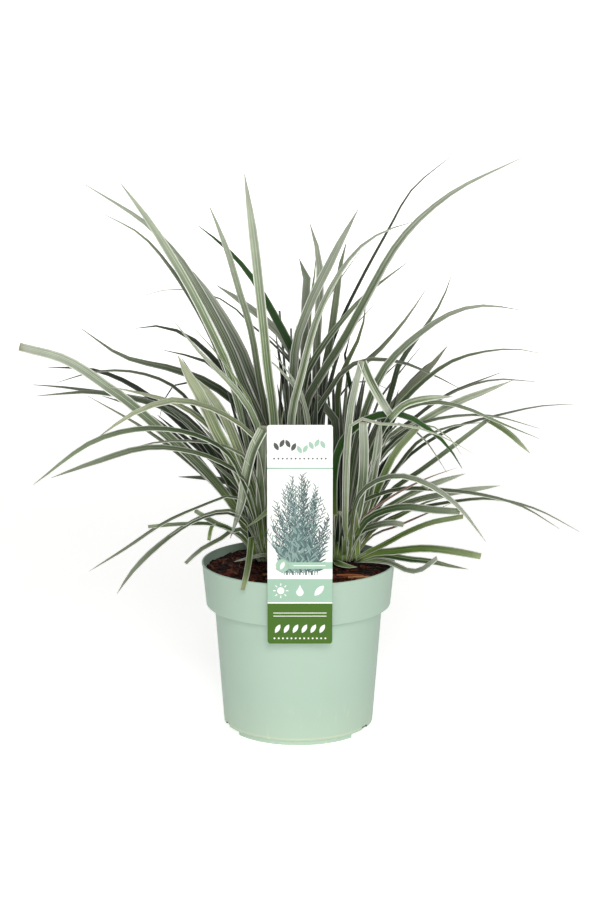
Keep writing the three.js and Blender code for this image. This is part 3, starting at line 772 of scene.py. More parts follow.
TUFTS = (
    Tuft("tuft_row1_left", "leaf_green", 0, 0, 285, (-80, -40), 0.0, (
        leaf(-31, 6, 65, Tone.GREEN, (-52, 238), (-70, 274), (-104, 292), (-150, 297), (-200, 284),
            (-259, 241), taper=0.7, lean=-0.06, twist=-65),
        leaf(-33, 6.5, 65, Tone.GREY, (-50, 244), (-78, 265), (-112, 276), (-150, 278), (-200, 263),
            (-241, 248), taper=0.75, lean=-0.03, twist=-60),
        leaf(-29, 4, 45, Tone.GREY, (-46, 262), (-72, 280), (-115, 285), (-150, 281), (-178, 271)),
        leaf(-27, 6.5, 78, Tone.CREAM, (-41, 285), (-62, 305), (-92, 320), (-122, 325), (-160, 312),
            (-195, 288), taper=0.75, twist=-78),
        leaf(-35, 3.7, 60, Tone.GREY, (-51, 222), (-66, 230), (-92, 221), (-130, 204), (-170, 177),
            (-206, 154), taper=0.7, lean=0.02, twist=-50),
        leaf(-34, 5.8, 70, Tone.GREY, (-52, 203), (-70, 213), (-100, 206), (-140, 178), (-165, 152),
            (-179, 131), taper=0.75, twist=-70),
        leaf(-32, 4, 45, Tone.GREY, (-56, 212), (-78, 215), (-103, 206), (-126, 190)),
        leaf(-37, 4, 45, Tone.GREEN, (-58, 191), (-80, 201), (-110, 202),
            (-147, 199), style=Style.CUT, twist=-40),
        cut(-38, 5.5, 20, Tone.GREEN, (-55, 188), (-68, 197), (-82, 203), (-101, 215)),
        leaf(0, 4, 10, Tone.OLIVE, (-83, 203), (-86, 196), (-88, 185), style=Style.LOOSE_CUT),
        cut(-36, 4.5, 20, Tone.GREY, (-58, 197), (-78, 186), (-96, 176), (-111, 162)),
        leaf(-37, 8.5, 0, Tone.GREY, (-37, 240), (-34, 299), style=Style.CUT, lean=-0.08),
        leaf(0, 9.5, 5, Tone.SILVER, (-35, 295), (-44, 277), (-51, 251), (-56, 223), (-61, 205),
            (-67, 187), style=Style.LOOSE, lean=-0.12),
        cut(-43, 6, 10, Tone.OLIVE, (-45, 190, -4), (-48.5, 166, -46), (-51.5, 149, -78),
            (-55, 135, -88)),
        leaf(-24, 6.5, 15, Tone.LIME, (-22, 222), (-36, 209), (-53, 197), lean=-0.4),
        leaf(-27, 3.5, 20, Tone.PALE, (-33, 170.5, -3), (-47.6, 167.6, -9), (-63.3, 163.6, -14)),
    )),
    Tuft("tuft_row1_right", "leaf_silver", 0, 0, 285, (40, 80), 0.0, (
        leaf(50, 6.5, 55, Tone.SILVER, (58, 228), (76, 245), (100, 250), (128, 241), (157, 219),
            (184, 184), taper=0.6, twist=-50),
        cut(48, 7.5, 15, Tone.GREEN, (64, 203), (84, 215), (105, 219), (130, 216), (158, 214)),
        cut(54, 5.5, 15, Tone.OLIVE, (66, 172), (84, 181), (106, 193), (130, 203), (161, 209)),
        cut(46, 6.5, 10, Tone.GREY, (58, 192), (72, 199), (90, 203), (103, 201)),
        cut(57, 7.5, 5, Tone.OLIVE, (73, 172), (92, 174), (120, 177), (139, 176), (159, 173), (179, 169)),
        leaf(59, 6.5, 20, Tone.GREEN, (78, 170), (92, 169), (110, 166), (130, 164), (146, 160),
            (167, 156)),
        leaf(56, 6, 35, Tone.SILVER, (69, 165), (84, 164), (93, 162), (102, 157), (111, 154),
            (120, 155), (136, 167), style=Style.CUT, lean=-0.12),
        leaf(37, 8, 10, Tone.VIVID, (35, 255), (43, 284), (62, 304), (97, 312), (123, 299), (145, 280),
            (160, 257), lean=0.08),
        leaf(47, 3, 10, Tone.PALE, (48, 270), (55, 307), (75, 302), (105, 300), (140, 289), (170, 272)),
        cut(45, 6.5, 0, Tone.SILVER, (50, 310), (61, 363)),
        leaf(0, 8, 0, Tone.SILVER, (62, 362), (69, 345), (80, 325), (89, 311), style=Style.LOOSE_CUT),
        leaf(0, 6.5, 5, Tone.PALE, (88, 306), (104, 321), (128, 327), (150, 328), style=Style.LOOSE),
        cut(43, 9, 0, Tone.SILVER, (56, 205), (63, 245), (64, 275), (63, 303)),
        leaf(49, 2.2, 20, Tone.DRY, (62, 205), (85, 225), (110, 240), (132, 250), (155, 258)),
        leaf(38, 3.5, 10, Tone.PALE, (41, 178), (50, 186), (64, 191)),
        leaf(36, 3.5, 10, Tone.CREAM, (34, 209), (37, 216), (43, 211), (49, 193)),
        leaf(36, 6, 15, Tone.LIME, (40, 161.8, -14), (51, 158.6, -22), (58, 158.2, -25)),
    )),
    Tuft("tuft_row2_left", "leaf_silver", 1, 2, 285, (-75, -30), 0.0, (
        leaf(-34, 11, 5, Tone.CREAM, (-52, 238), (-67, 271), (-79, 293), (-88, 314), (-97, 333),
            (-107, 350), (-116, 368), taper=0.8, lean=-0.15),
        leaf(-29, 9, 10, Tone.CREAM, (-47, 246), (-57, 271), (-64, 290), (-74, 313), (-86, 331),
            (-100, 347), taper=0.8, lean=-0.12),
        leaf(-27, 6, 10, Tone.GREEN, (-47, 241), (-51, 264), (-57, 283), (-64, 303), (-68, 314)),
        leaf(-23, 6.5, 15, Tone.PALE, (-40, 300), (-57, 331), (-77, 353), (-97, 374), (-119, 401)),
        leaf(-33, 7.5, 10, Tone.DEEP, (-57, 246), (-74, 274), (-93, 289), (-110, 305), (-132, 321)),
        leaf(-36, 6, 10, Tone.GREEN, (-53, 232), (-68, 250), (-88, 266)),
        leaf(-35, 6, 10, Tone.SILVER, (-54, 243), (-73, 275), (-100, 306)),
        leaf(-20, 3, 20, Tone.OLIVE, (-44, 318), (-62, 348), (-78, 370), (-101, 396)),
    )),
    Tuft("tuft_row2_right", "leaf_green", 1, 2, 285, (35, 85), 0.0, (
        leaf(43, 5.5, 45, Tone.GREY, (52, 216), (72, 229), (100, 237), (140, 236), (180, 231),
            (218, 220), (256, 197)),
        leaf(52, 6, 15, Tone.PALE, (70, 205), (95, 223), (125, 239), (163, 252), taper=0.8),
        leaf(54, 2.2, 20, Tone.DRY, (73, 190), (98, 200), (125, 212), (149, 222)),
        cut(48, 7, 5, Tone.OLIVE, (70, 220), (82, 247), (95, 274), (116, 298)),
        leaf(46, 8, 5, Tone.SILVER, (58, 195), (70, 235), (77, 275), (80, 305), taper=0.8),
        leaf(45, 3, 20, Tone.GREY, (70, 255), (98, 302), (122, 287), (145, 253)),
        leaf(50, 4, 30, Tone.GREY, (67, 250), (84, 284), (104, 298), (120, 298)),
        leaf(41, 6.5, 20, Tone.GREEN, (70, 270), (92, 312), (125, 347), (155, 366), (205, 375),
            (233, 371), twist=45),
        leaf(44, 3, 20, Tone.CREAM, (75, 275), (110, 302), (137, 296), (152, 282), (159, 271)),
        leaf(55, 3.5, 20, Tone.OLIVE, (75, 197), (100, 210), (124, 223), (146, 229)),
    )),
    Tuft("tuft_row3_left", "leaf_silver", 2, 4, 285, (-75, -25), 0.0, (
        leaf(-41, 9.5, 5, Tone.SILVER, (-60, 214), (-91, 255), (-132, 294), (-166, 324), (-181, 335),
            (-224, 364), (-269, 377), style=Style.CUT, lean=0.05),
        leaf(-25, 7.5, 5, Tone.PALE, (-67, 354), (-84, 393), (-103, 432), (-125, 470), (-143, 499),
            (-169, 534), taper=0.8),
        leaf(-18, 9, 5, Tone.PALE, (-24, 310), (-29, 350), (-36, 420), (-43, 485), (-51, 543), taper=0.8),
        leaf(-38, 6.5, 15, Tone.CREAM, (-58, 262), (-85, 298), (-115, 320), (-150, 331), (-183, 338)),
        leaf(-31, 6, 15, Tone.DEEP, (-48, 318), (-66, 342), (-88, 362), (-105, 368), (-131, 374)),
        leaf(-43, 4.5, 30, Tone.GREY, (-66, 222), (-105, 262), (-150, 297), (-204, 329)),
        leaf(-28, 6, 30, Tone.GREY, (-42, 296), (-66, 345), (-88, 396), (-120, 450), (-150, 485),
            (-186, 505)),
    )),
    Tuft("tuft_row3_centre", "leaf_silver", 2, 4, 305, (-22, 26), 0.0, (
        leaf(-2, 8, 10, Tone.SILVER, (-7, 305), (3, 350), (18, 405), (38, 446), (61, 475), (84, 489),
            (109, 497), taper=0.35),
        leaf(18, 3.5, 10, Tone.PALE, (7, 323), (-2, 341), (-11, 354), (-19, 364), (-27, 374)),
        leaf(12, 5, 10, Tone.PALE, (6, 320), (-7, 343), (-17, 354), (-27, 364), (-38, 373), lean=0.025),
        leaf(-10, 3.5, 10, Tone.OLIVE, (-17, 295), (-15, 305), (-14, 318)),
    )),
    Tuft("tuft_row3_right", "leaf_green", 2, 3, 285, (35, 90), 0.0, (
        leaf(46, 5.5, 30, Tone.GREEN, (72, 275), (98, 314), (130, 323), (160, 318), (195, 303),
            (234, 287)),
        leaf(48, 4.5, 40, Tone.GREY, (75, 262), (110, 298), (150, 309), (190, 309), (234, 297)),
        leaf(52, 4, 40, Tone.GREY, (70, 195), (105, 214), (150, 224), (190, 227), (232, 217), (276, 194)),
        leaf(51, 6, 15, Tone.PALE, (74, 205), (110, 224), (150, 233), (197, 240), taper=0.8),
        leaf(45, 7, 15, Tone.PALE, (75, 262), (110, 297), (150, 321), (180, 333), (207, 344), taper=0.8),
        leaf(42, 8, 15, Tone.SILVER, (56, 280), (68, 322), (84, 357), (112, 386), (150, 411),
            (180, 417), (212, 413)),
        cut(51, 5, 15, Tone.GREEN, (88, 232), (123, 258), (186, 307)),
        leaf(0, 6, 10, Tone.CREAM, (184, 306), (205, 292), (226, 272), style=Style.LOOSE),
        leaf(47, 4, 25, Tone.GREY, (75, 228), (94, 255), (118, 285), (148, 299), (181, 303)),
    )),
    Tuft("tuft_row4_left", "leaf_dark", 3, 4, 295, (-85, -30), 0.0, (
        leaf(-22, 9, 10, Tone.SILVER, (-32, 290), (-51, 337), (-65, 374), (-79, 403), (-95, 432),
            (-113, 461), (-132, 483), (-148, 498), (-203, 533)),
        leaf(-36, 4.5, 50, Tone.GREY, (-62, 255), (-92, 305), (-120, 338), (-155, 352), (-195, 353),
            (-234, 342), twist=-20),
        leaf(-38, 7, 25, Tone.GREEN, (-74, 256), (-105, 300), (-129, 317), (-149, 324), (-182, 331),
            (-207, 333), (-231, 331), (-254, 329)),
        leaf(-42, 7.5, 15, Tone.GREY, (-49, 214), (-61, 240), (-83, 247), (-117, 249)),
        leaf(-18, 6.5, 10, Tone.PALE, (-33, 320), (-38, 345), (-42, 374), (-48, 403), (-57, 432),
            (-65, 461), (-75, 489), (-85, 513), taper=0.8),
        leaf(-28, 7, 20, Tone.DEEP, (-50, 322), (-78, 361), (-104, 386), (-132, 397), (-157, 395)),
        leaf(-32, 8.5, -10, Tone.GREEN, (-56, 315), (-84, 340), (-120, 355), (-150, 362), (-172, 369),
            (-209, 395), twist=60),
        leaf(-30, 3, 20, Tone.DEEP, (-64, 295), (-84, 331), (-97, 341), (-111, 343), (-120, 340),
            (-127, 331), (-133, 319), (-135, 307)),
    )),
    Tuft("tuft_row4_centre", "leaf_silver", 3, 6, 325, (-20, 30), 0.0, (
        leaf(2, 8.5, 5, Tone.SILVER, (-5, 340), (-2, 381), (5, 403), (17, 432), (27, 451), (36, 470),
            (57, 509), taper=0.8),
        leaf(-3, 8.5, 15, Tone.SILVER, (7, 320), (21, 348), (42, 381), (64, 422), (99, 482),
            (145, 524), (212, 558)),
        leaf(-7, 5.5, 25, Tone.GREY, (12, 303), (28, 331), (46, 356), (70, 365), (100, 362),
            (130, 350), (155, 337)),
        leaf(8, 7, 20, Tone.GREEN, (6, 345), (20, 373), (40, 400), (64, 427), (105, 459)),
        leaf(8, 6, 10, Tone.DEEP, (19, 305), (32, 345), (36, 362), (42, 378), (50, 393)),
        leaf(24, 8, 10, Tone.GREEN, (37, 301), (27, 317), (18, 329), (7, 341), taper=0.8),
    )),
    Tuft("tuft_row4_right", "leaf_dark", 3, 3, 295, (34, 100), 0.0, (
        leaf(51, 3.5, 30, Tone.GREY, (100, 262), (150, 297), (198, 311), (235, 319), (268, 321)),
        leaf(40, 8, 5, Tone.DEEP, (47, 240), (56, 290), (60, 330)),
        leaf(47, 7, 10, Tone.DEEP, (66, 230), (84, 290), (97, 335)),
        leaf(34, 6, 10, Tone.GREEN, (31, 285), (30, 318), (28, 341), lean=0.12),
    )),
    Tuft("tuft_row5_left", "leaf_silver", 4, 4, 305, (-90, -30), 0.0, (
        leaf(-24, 10, 5, Tone.SILVER, (-32, 315), (-44, 345), (-55, 374), (-71, 403), (-89, 432),
            (-101, 450), taper=0.8),
        leaf(-36, 6.5, 20, Tone.DEEP, (-80, 262), (-125, 312), (-165, 342), (-200, 355), (-242, 357)),
        leaf(-38, 6, 25, Tone.GREY, (-81, 276), (-117, 314), (-144, 324), (-168, 329), (-207, 335),
            (-231, 338), (-257, 340)),
        leaf(-40, 6.5, 15, Tone.GREY, (-72, 232), (-114, 284), (-159, 318), (-190, 329)),
        leaf(-22, 6, 10, Tone.PALE, (-33, 320), (-41, 346), (-47, 364), (-53, 378)),
    )),
    Tuft("tuft_row5_centre", "leaf_dark", 4, 6, 335, (-20, 30), 0.0, (
        leaf(10, 9, 10, Tone.VIVID, (0, 340), (-2, 364), (-11, 384), (-26, 413), (-43, 442),
            (-58, 461), (-72, 475), (-96, 494)),
        leaf(18, 7, 10, Tone.GREEN, (24, 345), (30, 379), (36, 422), (41, 459), (46, 478), taper=0.8),
        leaf(15, 3.5, 20, Tone.DEEP, (24, 345), (36, 390), (58, 438), (86, 490), (108, 528), (147, 561)),
        leaf(12, 2.5, 40, Tone.GREY, (6, 340), (-15, 370), (-27, 383), (-43, 396), (-55, 409),
            (-68, 420), (-90, 429), (-115, 433), (-135, 431), (-148, 427)),
    )),
    Tuft("tuft_row5_right", "leaf_green", 4, 5, 305, (36, 100), 0.0, (
        leaf(38, 6.5, 15, Tone.OLIVE, (39, 310), (38, 330), (40, 345), (44, 356), (53, 374), (61, 393),
            (65, 420)),
        leaf(41, 6, 15, Tone.CREAM, (47, 307), (52, 335), (58, 351), (66, 363), (80, 376), (105, 406),
            (122, 432)),
        leaf(44, 6, 15, Tone.GREEN, (82, 305), (88, 327), (93, 345), (96, 357), (104, 371), (122, 396),
            (138, 422), (147, 447)),
        leaf(46, 7, 10, Tone.CREAM, (76, 295), (100, 330), (122, 351), (144, 378), taper=0.8),
        leaf(48, 4.5, 30, Tone.GREY, (80, 278), (110, 305), (145, 331), (196, 352)),
        leaf(49, 4, 35, Tone.PALE, (78, 266), (115, 309), (150, 333), (190, 345), (229, 343)),
        leaf(38, 6.5, 10, Tone.VIVID, (54, 310), (51, 337), (47, 354), (45, 372), (50, 388)),
        leaf(38, 2.5, 10, Tone.GREY, (37, 323), (44, 337), (56, 345), (66, 345), (77, 340), (90, 334)),
    )),
    Tuft("tuft_row6_centre", "leaf_silver", 5, 5, 330, (-25, 35), 0.0, (
        leaf(10, 8, 10, Tone.PALE, (5, 340), (-13, 383), (-27, 399), (-42, 411), (-56, 422),
            (-79, 437), taper=0.8),
        leaf(14, 4, 15, Tone.PALE, (9, 330), (0, 354), (-17, 376), (-30, 390), (-38, 397)),
        leaf(4, 8.5, 5, Tone.GREY, (6, 362), (7, 422), (8, 439), (8, 452), (5, 459), (1, 462), taper=0.9),
        leaf(16, 8, 10, Tone.PALE, (18, 380), (21, 440), (19, 468), (11, 496), taper=0.8),
        leaf(8, 5, 15, Tone.OLIVE, (9, 340), (12, 422), (16, 451), (17, 467)),
        cut(-6, 2.5, 10, Tone.GREEN, (-12, 340), (-18, 412)),
        cut(-1, 2.5, 10, Tone.PALE, (-5, 340), (-7, 395)),
        leaf(12, 2.5, 10, Tone.PALE, (5, 354), (19, 407), (31, 428), (45, 450), (65, 477)),
        leaf(18, 3, 10, Tone.GREY, (31, 364), (55, 398), (65, 410), (74, 419)),
    )),
    Tuft("tuft_row6_right", "leaf_green", 5, 4, 300, (40, 110), 0.0, (
        leaf(46, 5, 10, Tone.GREEN, (80, 300), (88, 327), (97, 359)),
        leaf(42, 3, 30, Tone.PALE, (77, 323), (94, 347), (105, 361), (118, 377)),
        leaf(44, 8, 15, Tone.GREY, (72, 290), (98, 328), (120, 355), (137, 368)),
        leaf(42, 3, 10, Tone.GREY, (69, 330), (81, 347), (95, 360), (103, 368)),
    )),
    Tuft("tuft_row6_left", "leaf_green", 5, 4, 300, (-100, -30), 0.0, (
        leaf(-32, 7, 10, Tone.DEEP, (-45, 315), (-62, 345), (-68, 358), (-73, 374)),
    )),
    Tuft("tuft_row7_left", "leaf_green", 6, 9, 335, (-140, -12), 0.36, ()),
    Tuft("tuft_row7_right", "leaf_green", 6, 9, 335, (18, 140), 0.36, ()),
)


@dataclass(frozen=True)
class LeafFinish:
    """The satin, lengthwise striped skin of a leaf, with painted shade and painted light.

    A pair of numbers is where an effect starts and where it is full: as shares
    of the leaf's width or length, as noise levels, or as metres on the plant.
    """

    margin: Colour = paint("F2F4EA")
    sheath: Colour = paint("86A052")
    straw: Colour = paint("9C8A64")
    chalk: Colour = paint("6E776E")
    frost: Colour = paint("AEB0AE")
    lane_levels: Point = (0.58, 0.70)
    shaded_half_edge: Point = (0.44, 0.56)
    margin_width: Point = (0.72, 0.90)
    green_foot: Point = (0.02, 0.38)
    bloom_length: Point = (0.45, 1.0)
    straw_tip: Point = (0.985, 1.0)
    painted_shade_front: Point = (-0.040, 0.020)
    painted_shade_back: Point = (0.085, 0.14)
    painted_shade_bottom: Point = (0.19, 0.27)
    painted_shade_top: Point = (0.33, 0.46)
    painted_light_side: Point = (0.08, 0.22)

    def light(self, recipe: Recipe, place: Wire) -> Wire:
        """Works out the painted shade deep in the clump and the painted light at its sides.

        Args:
            recipe: The material's recipe.
            place: The place on the plant.

        Returns:
            The brightness that the skin is scaled by.
        """
        sideways, behind, height = recipe.parts(place)
        # Painted shade: leaves just behind the front and at mid height are darkened, as if the clump
        # shaded them.
        painted_shade_band = recipe.step(behind, *self.painted_shade_front) * (1 - recipe.step(behind, *self.painted_shade_back))
        level = recipe.step(height, *self.painted_shade_bottom) * (1 - recipe.step(height, *self.painted_shade_top))
        # Painted light: leaves far out at the clump's sides are made lighter.
        painted_light_mask = recipe.step(abs(sideways), *self.painted_light_side)
        return 1 - painted_shade_band * level * 0.55 + painted_light_mask * 0.16

    def material(self, name: str, underside: bool) -> Material:
        """Makes the skin from the leaf's own map and colours.

        Args:
            name: The material's name.
            underside: Whether this is the chalkier face below.

        Returns:
            The material.
        """
        recipe = Recipe(name)
        across, along, _ = recipe.parts(recipe.node("UVMap", {"uv_map": "leaf_map"}, {}))
        body, striped = recipe.attribute("body_tone")
        stripe, shift = recipe.attribute("stripe_tone")
        fade = recipe.clouds(recipe.vector(across * 2, along * 5, shift * 29), 1.0)
        lanes = recipe.clouds(recipe.vector(across * 11 + shift * 83, along * 0.9, shift * 17), 1.0)
        lines = recipe.step(lanes + striped * 0.22, *self.lane_levels) * (striped * 0.7 + 0.45)
        # Painted shade: one half of each leaf, beside its middle fold, is darker.
        half = abs(recipe.step(across, *self.shaded_half_edge) - recipe.maths("GREATER_THAN", shift, 0.5))
        skin = recipe.shade(recipe.blend(lines, body, stripe), 1 - half * 0.26)
        margin = recipe.step(abs(across - 0.5) * 2, *self.margin_width)
        margin = margin * (striped * 1.3 + 0.22) * (fade * 0.9 + 0.6)
        skin = recipe.blend(margin, skin, self.margin)
        rooted = recipe.maths("LESS_THAN", shift, 1.0)
        low = (1 - recipe.step(along, *self.green_foot)) * (1 - margin) * rooted * 0.8
        bloom = recipe.step(along, *self.bloom_length) * (striped * 0.7 + 0.20)
        frosted = recipe.blend(striped * 1.1, stripe, self.frost)
        skin = recipe.blend(bloom, recipe.blend(low, skin, self.sheath), frosted)
        skin = recipe.blend(recipe.step(along, *self.straw_tip) * 0.4, skin, self.straw)
        if underside:
            skin = recipe.blend(0.3, skin, self.chalk)
        place = recipe.place()
        # Painted shade deep in the clump and painted light at its sides.
        skin = recipe.shade(skin, self.light(recipe, place))
        mottle = recipe.clouds(place, 55.0, 3.0)
        veins = recipe.maths("SINE", across * 62)
        marked = recipe.maths("MAXIMUM", margin, lines)
        return recipe.finish(
            Base_Color=recipe.shade(skin, mottle * 0.36 + 0.82),
            Roughness=marked * 0.12 + (0.56 if underside else 0.42),
            Normal=recipe.relief(veins + lanes * 2, 0.35, 0.0003),
            Specular_IOR_Level=0.3,
        )


@dataclass(frozen=True)
class PlasticFinish:
    """Soft matt moulded plastic with dust and scuffs towards the foot, and painted shadow in the base
    slots.

    A pair of numbers is where an effect starts and where it is full, in metres
    on the pot or as a noise level.
    """

    body: Colour = paint("AEC4B4")
    deep: Colour = paint("A5BCAB")
    dust: Colour = paint("CFD2B4")
    hollow_shade: Colour = paint("1E241F")
    roughness: float = 0.50
    scuff_levels: Point = (0.60, 0.72)
    dusty_height: Point = (0.004, 0.05)
    ring_height: float = 0.0071
    ring_width: Point = (0.0003, 0.0014)
    slot_shadow_radius: Point = (0.0731, 0.0735)
    slot_shadow_bottom: Point = (0.0047, 0.0049)
    slot_shadow_top: Point = (0.0082, 0.0095)

    def material(self, name: str) -> Material:
        """Makes the plastic, which reads its place on the pot.

        Args:
            name: The material's name.

        Returns:
            The material.
        """
        recipe = Recipe(name)
        place = recipe.place()
        x, y, height = recipe.parts(place)
        haze = recipe.clouds(place, 9.0, 3.0)
        grain = recipe.clouds(place, 900.0, 2.0)
        streaks = recipe.clouds(recipe.stretched(place, (1.0, 1.0, 0.25)), 160.0, 6.0)
        low = 1 - recipe.step(height, *self.dusty_height)
        ring = 1 - recipe.step(abs(height - self.ring_height), *self.ring_width)
        scuffs = recipe.step(streaks, *self.scuff_levels) * low
        dusty = recipe.maths("MINIMUM", scuffs * 0.45 + ring * 0.35 + low * 0.12, 0.8)
        colour = recipe.blend(dusty, recipe.blend(haze, self.body, self.deep), self.dust)
        # Painted shadow: the inside of each base slot is painted near black.
        inside = 1 - recipe.step(recipe.maths("SQRT", x * x + y * y), *self.slot_shadow_radius)
        level = recipe.step(height, *self.slot_shadow_bottom) * (1 - recipe.step(height, *self.slot_shadow_top))
        return recipe.finish(
            Base_Color=recipe.blend(inside * level, colour, self.hollow_shade),
            Roughness=self.roughness + haze * 0.1 + dusty * 0.3,
            Normal=recipe.relief(grain + haze * 4, 0.12, 0.0003),
            Specular_IOR_Level=0.3,
        )


def shaded_ground(recipe: Recipe, colour: Wire, place: Wire) -> Wire:
    """Paints shade on the ground towards the back, where the leaves shade it.

    Args:
        recipe: The material's recipe.
        colour: The ground's colour.
        place: The place on the ground.

    Returns:
        The darkened colour.
    """
    _, behind, _ = recipe.parts(place)
    # Painted shade: the ground is darker towards the back, under the leaves.
    return recipe.shade(colour, 0.92 - 0.52 * recipe.step(behind, -0.055, 0.0))


@dataclass(frozen=True)
class MixFinish:
    """Damp bark and fibre, red-brown, with near black hollows that are partly dark mix and partly painted
    shade.
    """

    hollow_shade: Colour = paint("100705")
    bark: Colour = paint("662B1C")
    fibre: Colour = paint("8A4A30")
    bark_levels: Point = (0.42, 0.64)
    fibre_levels: Point = (0.60, 0.72)

    def material(self, name: str) -> Material:
        """Makes the crumbly ground.

        Args:
            name: The material's name.

        Returns:
            The material.
        """
        recipe = Recipe(name)
        place = recipe.place()
        lumps = recipe.clouds(place, 170.0, 4.0)
        threads = recipe.clouds(recipe.stretched(place, (3.0, 0.8, 1.0)), 420.0, 3.0)
        # Partly painted shade: the mix is near black where the bumped lumps are low.
        ground = recipe.blend(recipe.step(lumps, *self.bark_levels), self.hollow_shade, self.bark)
        colour = recipe.blend(recipe.step(threads, *self.fibre_levels) * 0.6, ground, self.fibre)
        return recipe.finish(
            Base_Color=shaded_ground(recipe, colour, place),
            Roughness=0.92,
            Normal=recipe.relief(lumps + threads * 0.4, 0.9, 0.002),
            Specular_IOR_Level=0.2,
        )


@dataclass(frozen=True)
class ChipFinish:
    """Bark chips and wood slivers, each with its own tone."""

    grain: Colour = paint("26130C")
    grain_levels: Point = (0.45, 0.75)

    def material(self, name: str) -> Material:
        """Makes the chips from the tone that each one carries.

        Args:
            name: The material's name.

        Returns:
            The material.
        """
        recipe = Recipe(name)
        tone, _ = recipe.attribute("chip_tone")
        place = recipe.place()
        streaks = recipe.clouds(recipe.stretched(place, (1.0, 4.0, 4.0)), 260.0, 4.0)
        colour = recipe.blend(recipe.step(streaks, *self.grain_levels) * 0.6, tone, self.grain)
        return recipe.finish(
            Base_Color=shaded_ground(recipe, colour, place),
            Roughness=0.85,
            Normal=recipe.relief(streaks, 0.6, 0.0008),
            Specular_IOR_Level=0.3,
        )


@dataclass(frozen=True)
class CardFinish:
    """The label's printed bands on satin card, from top to bottom, in millimetres."""

    white: Colour = paint("F4F6F2")
    mint: Colour = paint("9CBDA8")
    green: Colour = paint("42681A")
    line: float = 278.2
    line_width: float = 1.5
    picture_bottom: float = 172.3
    mint_bottom: float = 149.8
    green_top: float = 148.5

    def material(self, name: str) -> Material:
        """Makes the bands, which follow the card's height.

        Args:
            name: The material's name.

        Returns:
            The material.
        """
        recipe = Recipe(name)
        place = recipe.place()
        _, _, height = recipe.parts(place)

        def above(level: float) -> Wire:
            """Makes a wire that is 1 above a height and 0 below it."""
            return recipe.maths("GREATER_THAN", height, level * MM)

        colour = recipe.blend(above(self.green_top), self.green, self.white)
        colour = recipe.blend(above(self.mint_bottom), colour, self.mint)
        colour = recipe.blend(above(self.picture_bottom), colour, self.white)
        on_line = above(self.line - self.line_width / 2) - above(self.line + self.line_width / 2)
        colour = recipe.blend(on_line, colour, self.mint)
        fleck = recipe.clouds(place, 320.0, 3.0)
        return recipe.finish(
            Base_Color=recipe.shade(colour, fleck * 0.05 + 0.975),
            Roughness=fleck * 0.08 + 0.40,
            Normal=recipe.relief(fleck, 0.05, 0.0002),
            Specular_IOR_Level=0.3,
        )


@dataclass(frozen=True)
class InkFinish:
    """One printed ink with a slight unevenness."""

    colour: Colour

    def material(self, name: str) -> Material:
        """Makes the ink.

        Args:
            name: The material's name.

        Returns:
            The material.
        """
        recipe = Recipe(name)
        fleck = recipe.clouds(recipe.place(), 240.0, 3.0)
        return recipe.finish(Base_Color=recipe.shade(self.colour[:3], fleck * 0.12 + 0.94),
                             Roughness=fleck * 0.06 + 0.36)


@dataclass(frozen=True)
class FloorFinish:
    """The plain pale paper that the pot stands on, which glows more far behind, in metres."""

    paper: Colour = paint("F6F6F5")
    glow: float = 0.60
    far_glow: float = 1.0
    far: Point = (0.8, 3.2)

    def material(self, name: str) -> Material:
        """Makes the paper.

        Args:
            name: The material's name.

        Returns:
            The material.
        """
        recipe = Recipe(name)
        place = recipe.place()
        _, behind, _ = recipe.parts(place)
        white = recipe.shade(self.paper[:3], recipe.clouds(place, 3.0) * 0.01 + 0.995)
        glow = recipe.step(behind, *self.far) * (self.far_glow - self.glow) + self.glow
        return recipe.finish(
            Base_Color=white,
            Roughness=0.9,
            Emission_Color=recipe.shade(white, glow),
            Emission_Strength=1.0,
        )


def only(kind: type, items: Sequence[object]) -> list:
    """Picks the items of one kind from what a mesh operator returns."""
    return [item for item in items if isinstance(item, kind)]


def slab(mesh: Mesh, outline: Sequence[Vector], rise: Vector) -> None:
    """Adds a closed flat-topped solid.

    Args:
        mesh: The mesh to add to.
        outline: The corners of its base.
        rise: How far and which way the base is drawn out.
    """
    base = mesh.faces.new([mesh.verts.new(corner) for corner in outline])
    grown = bmesh.ops.extrude_face_region(mesh, geom=[base], use_keep_orig=True)["geom"]
    bmesh.ops.translate(mesh, verts=only(Vert, grown), vec=rise)


def strand(mesh: Mesh, line: Sequence[Vector], radius: float, sides: int) -> list[Vert]:
    """Adds a thin closed stem that follows a line and thins to half towards its far end.

    Args:
        mesh: The mesh to add to.
        line: The points along its middle.
        radius: Its radius at the first point.
        sides: How many sides it has.

    Returns:
        Its corners.
    """
    rings = []
    last = len(line) - 1
    side = (line[1] - line[0]).orthogonal().normalized()
    for i, at in enumerate(line):
        ahead = (line[min(i + 1, last)] - line[max(i - 1, 0)]).normalized()
        side = (side - ahead * side.dot(ahead)).normalized()
        other = ahead.cross(side)
        size = radius * (1 - 0.5 * i / last)
        rings.append([mesh.verts.new(at + (side * math.cos(a) + other * math.sin(a)) * size)
                      for a in (math.tau * k / sides for k in range(sides))])
    for low, high in zip(rings, rings[1:]):
        for k in range(sides):
            mesh.faces.new((low[k], low[(k + 1) % sides], high[(k + 1) % sides], high[k]))
    mesh.faces.new(reversed(rings[0]))
    mesh.faces.new(rings[-1])
    return [vert for ring in rings for vert in ring]


def grown_edges(mesh: Mesh, edges: Sequence[Edge]) -> tuple[list[Vert], list[Edge], list[Face]]:
    """Draws faces out of edges.

    Args:
        mesh: The mesh that holds the edges.
        edges: The edges.

    Returns:
        The new corners, the far edges and the new faces.
    """
    grown = bmesh.ops.extrude_edge_only(mesh, edges=edges)["geom"]
    fresh = only(Vert, grown)
    far = [edge for edge in only(Edge, grown) if all(vert in fresh for vert in edge.verts)]
    return fresh, far, only(Face, grown)


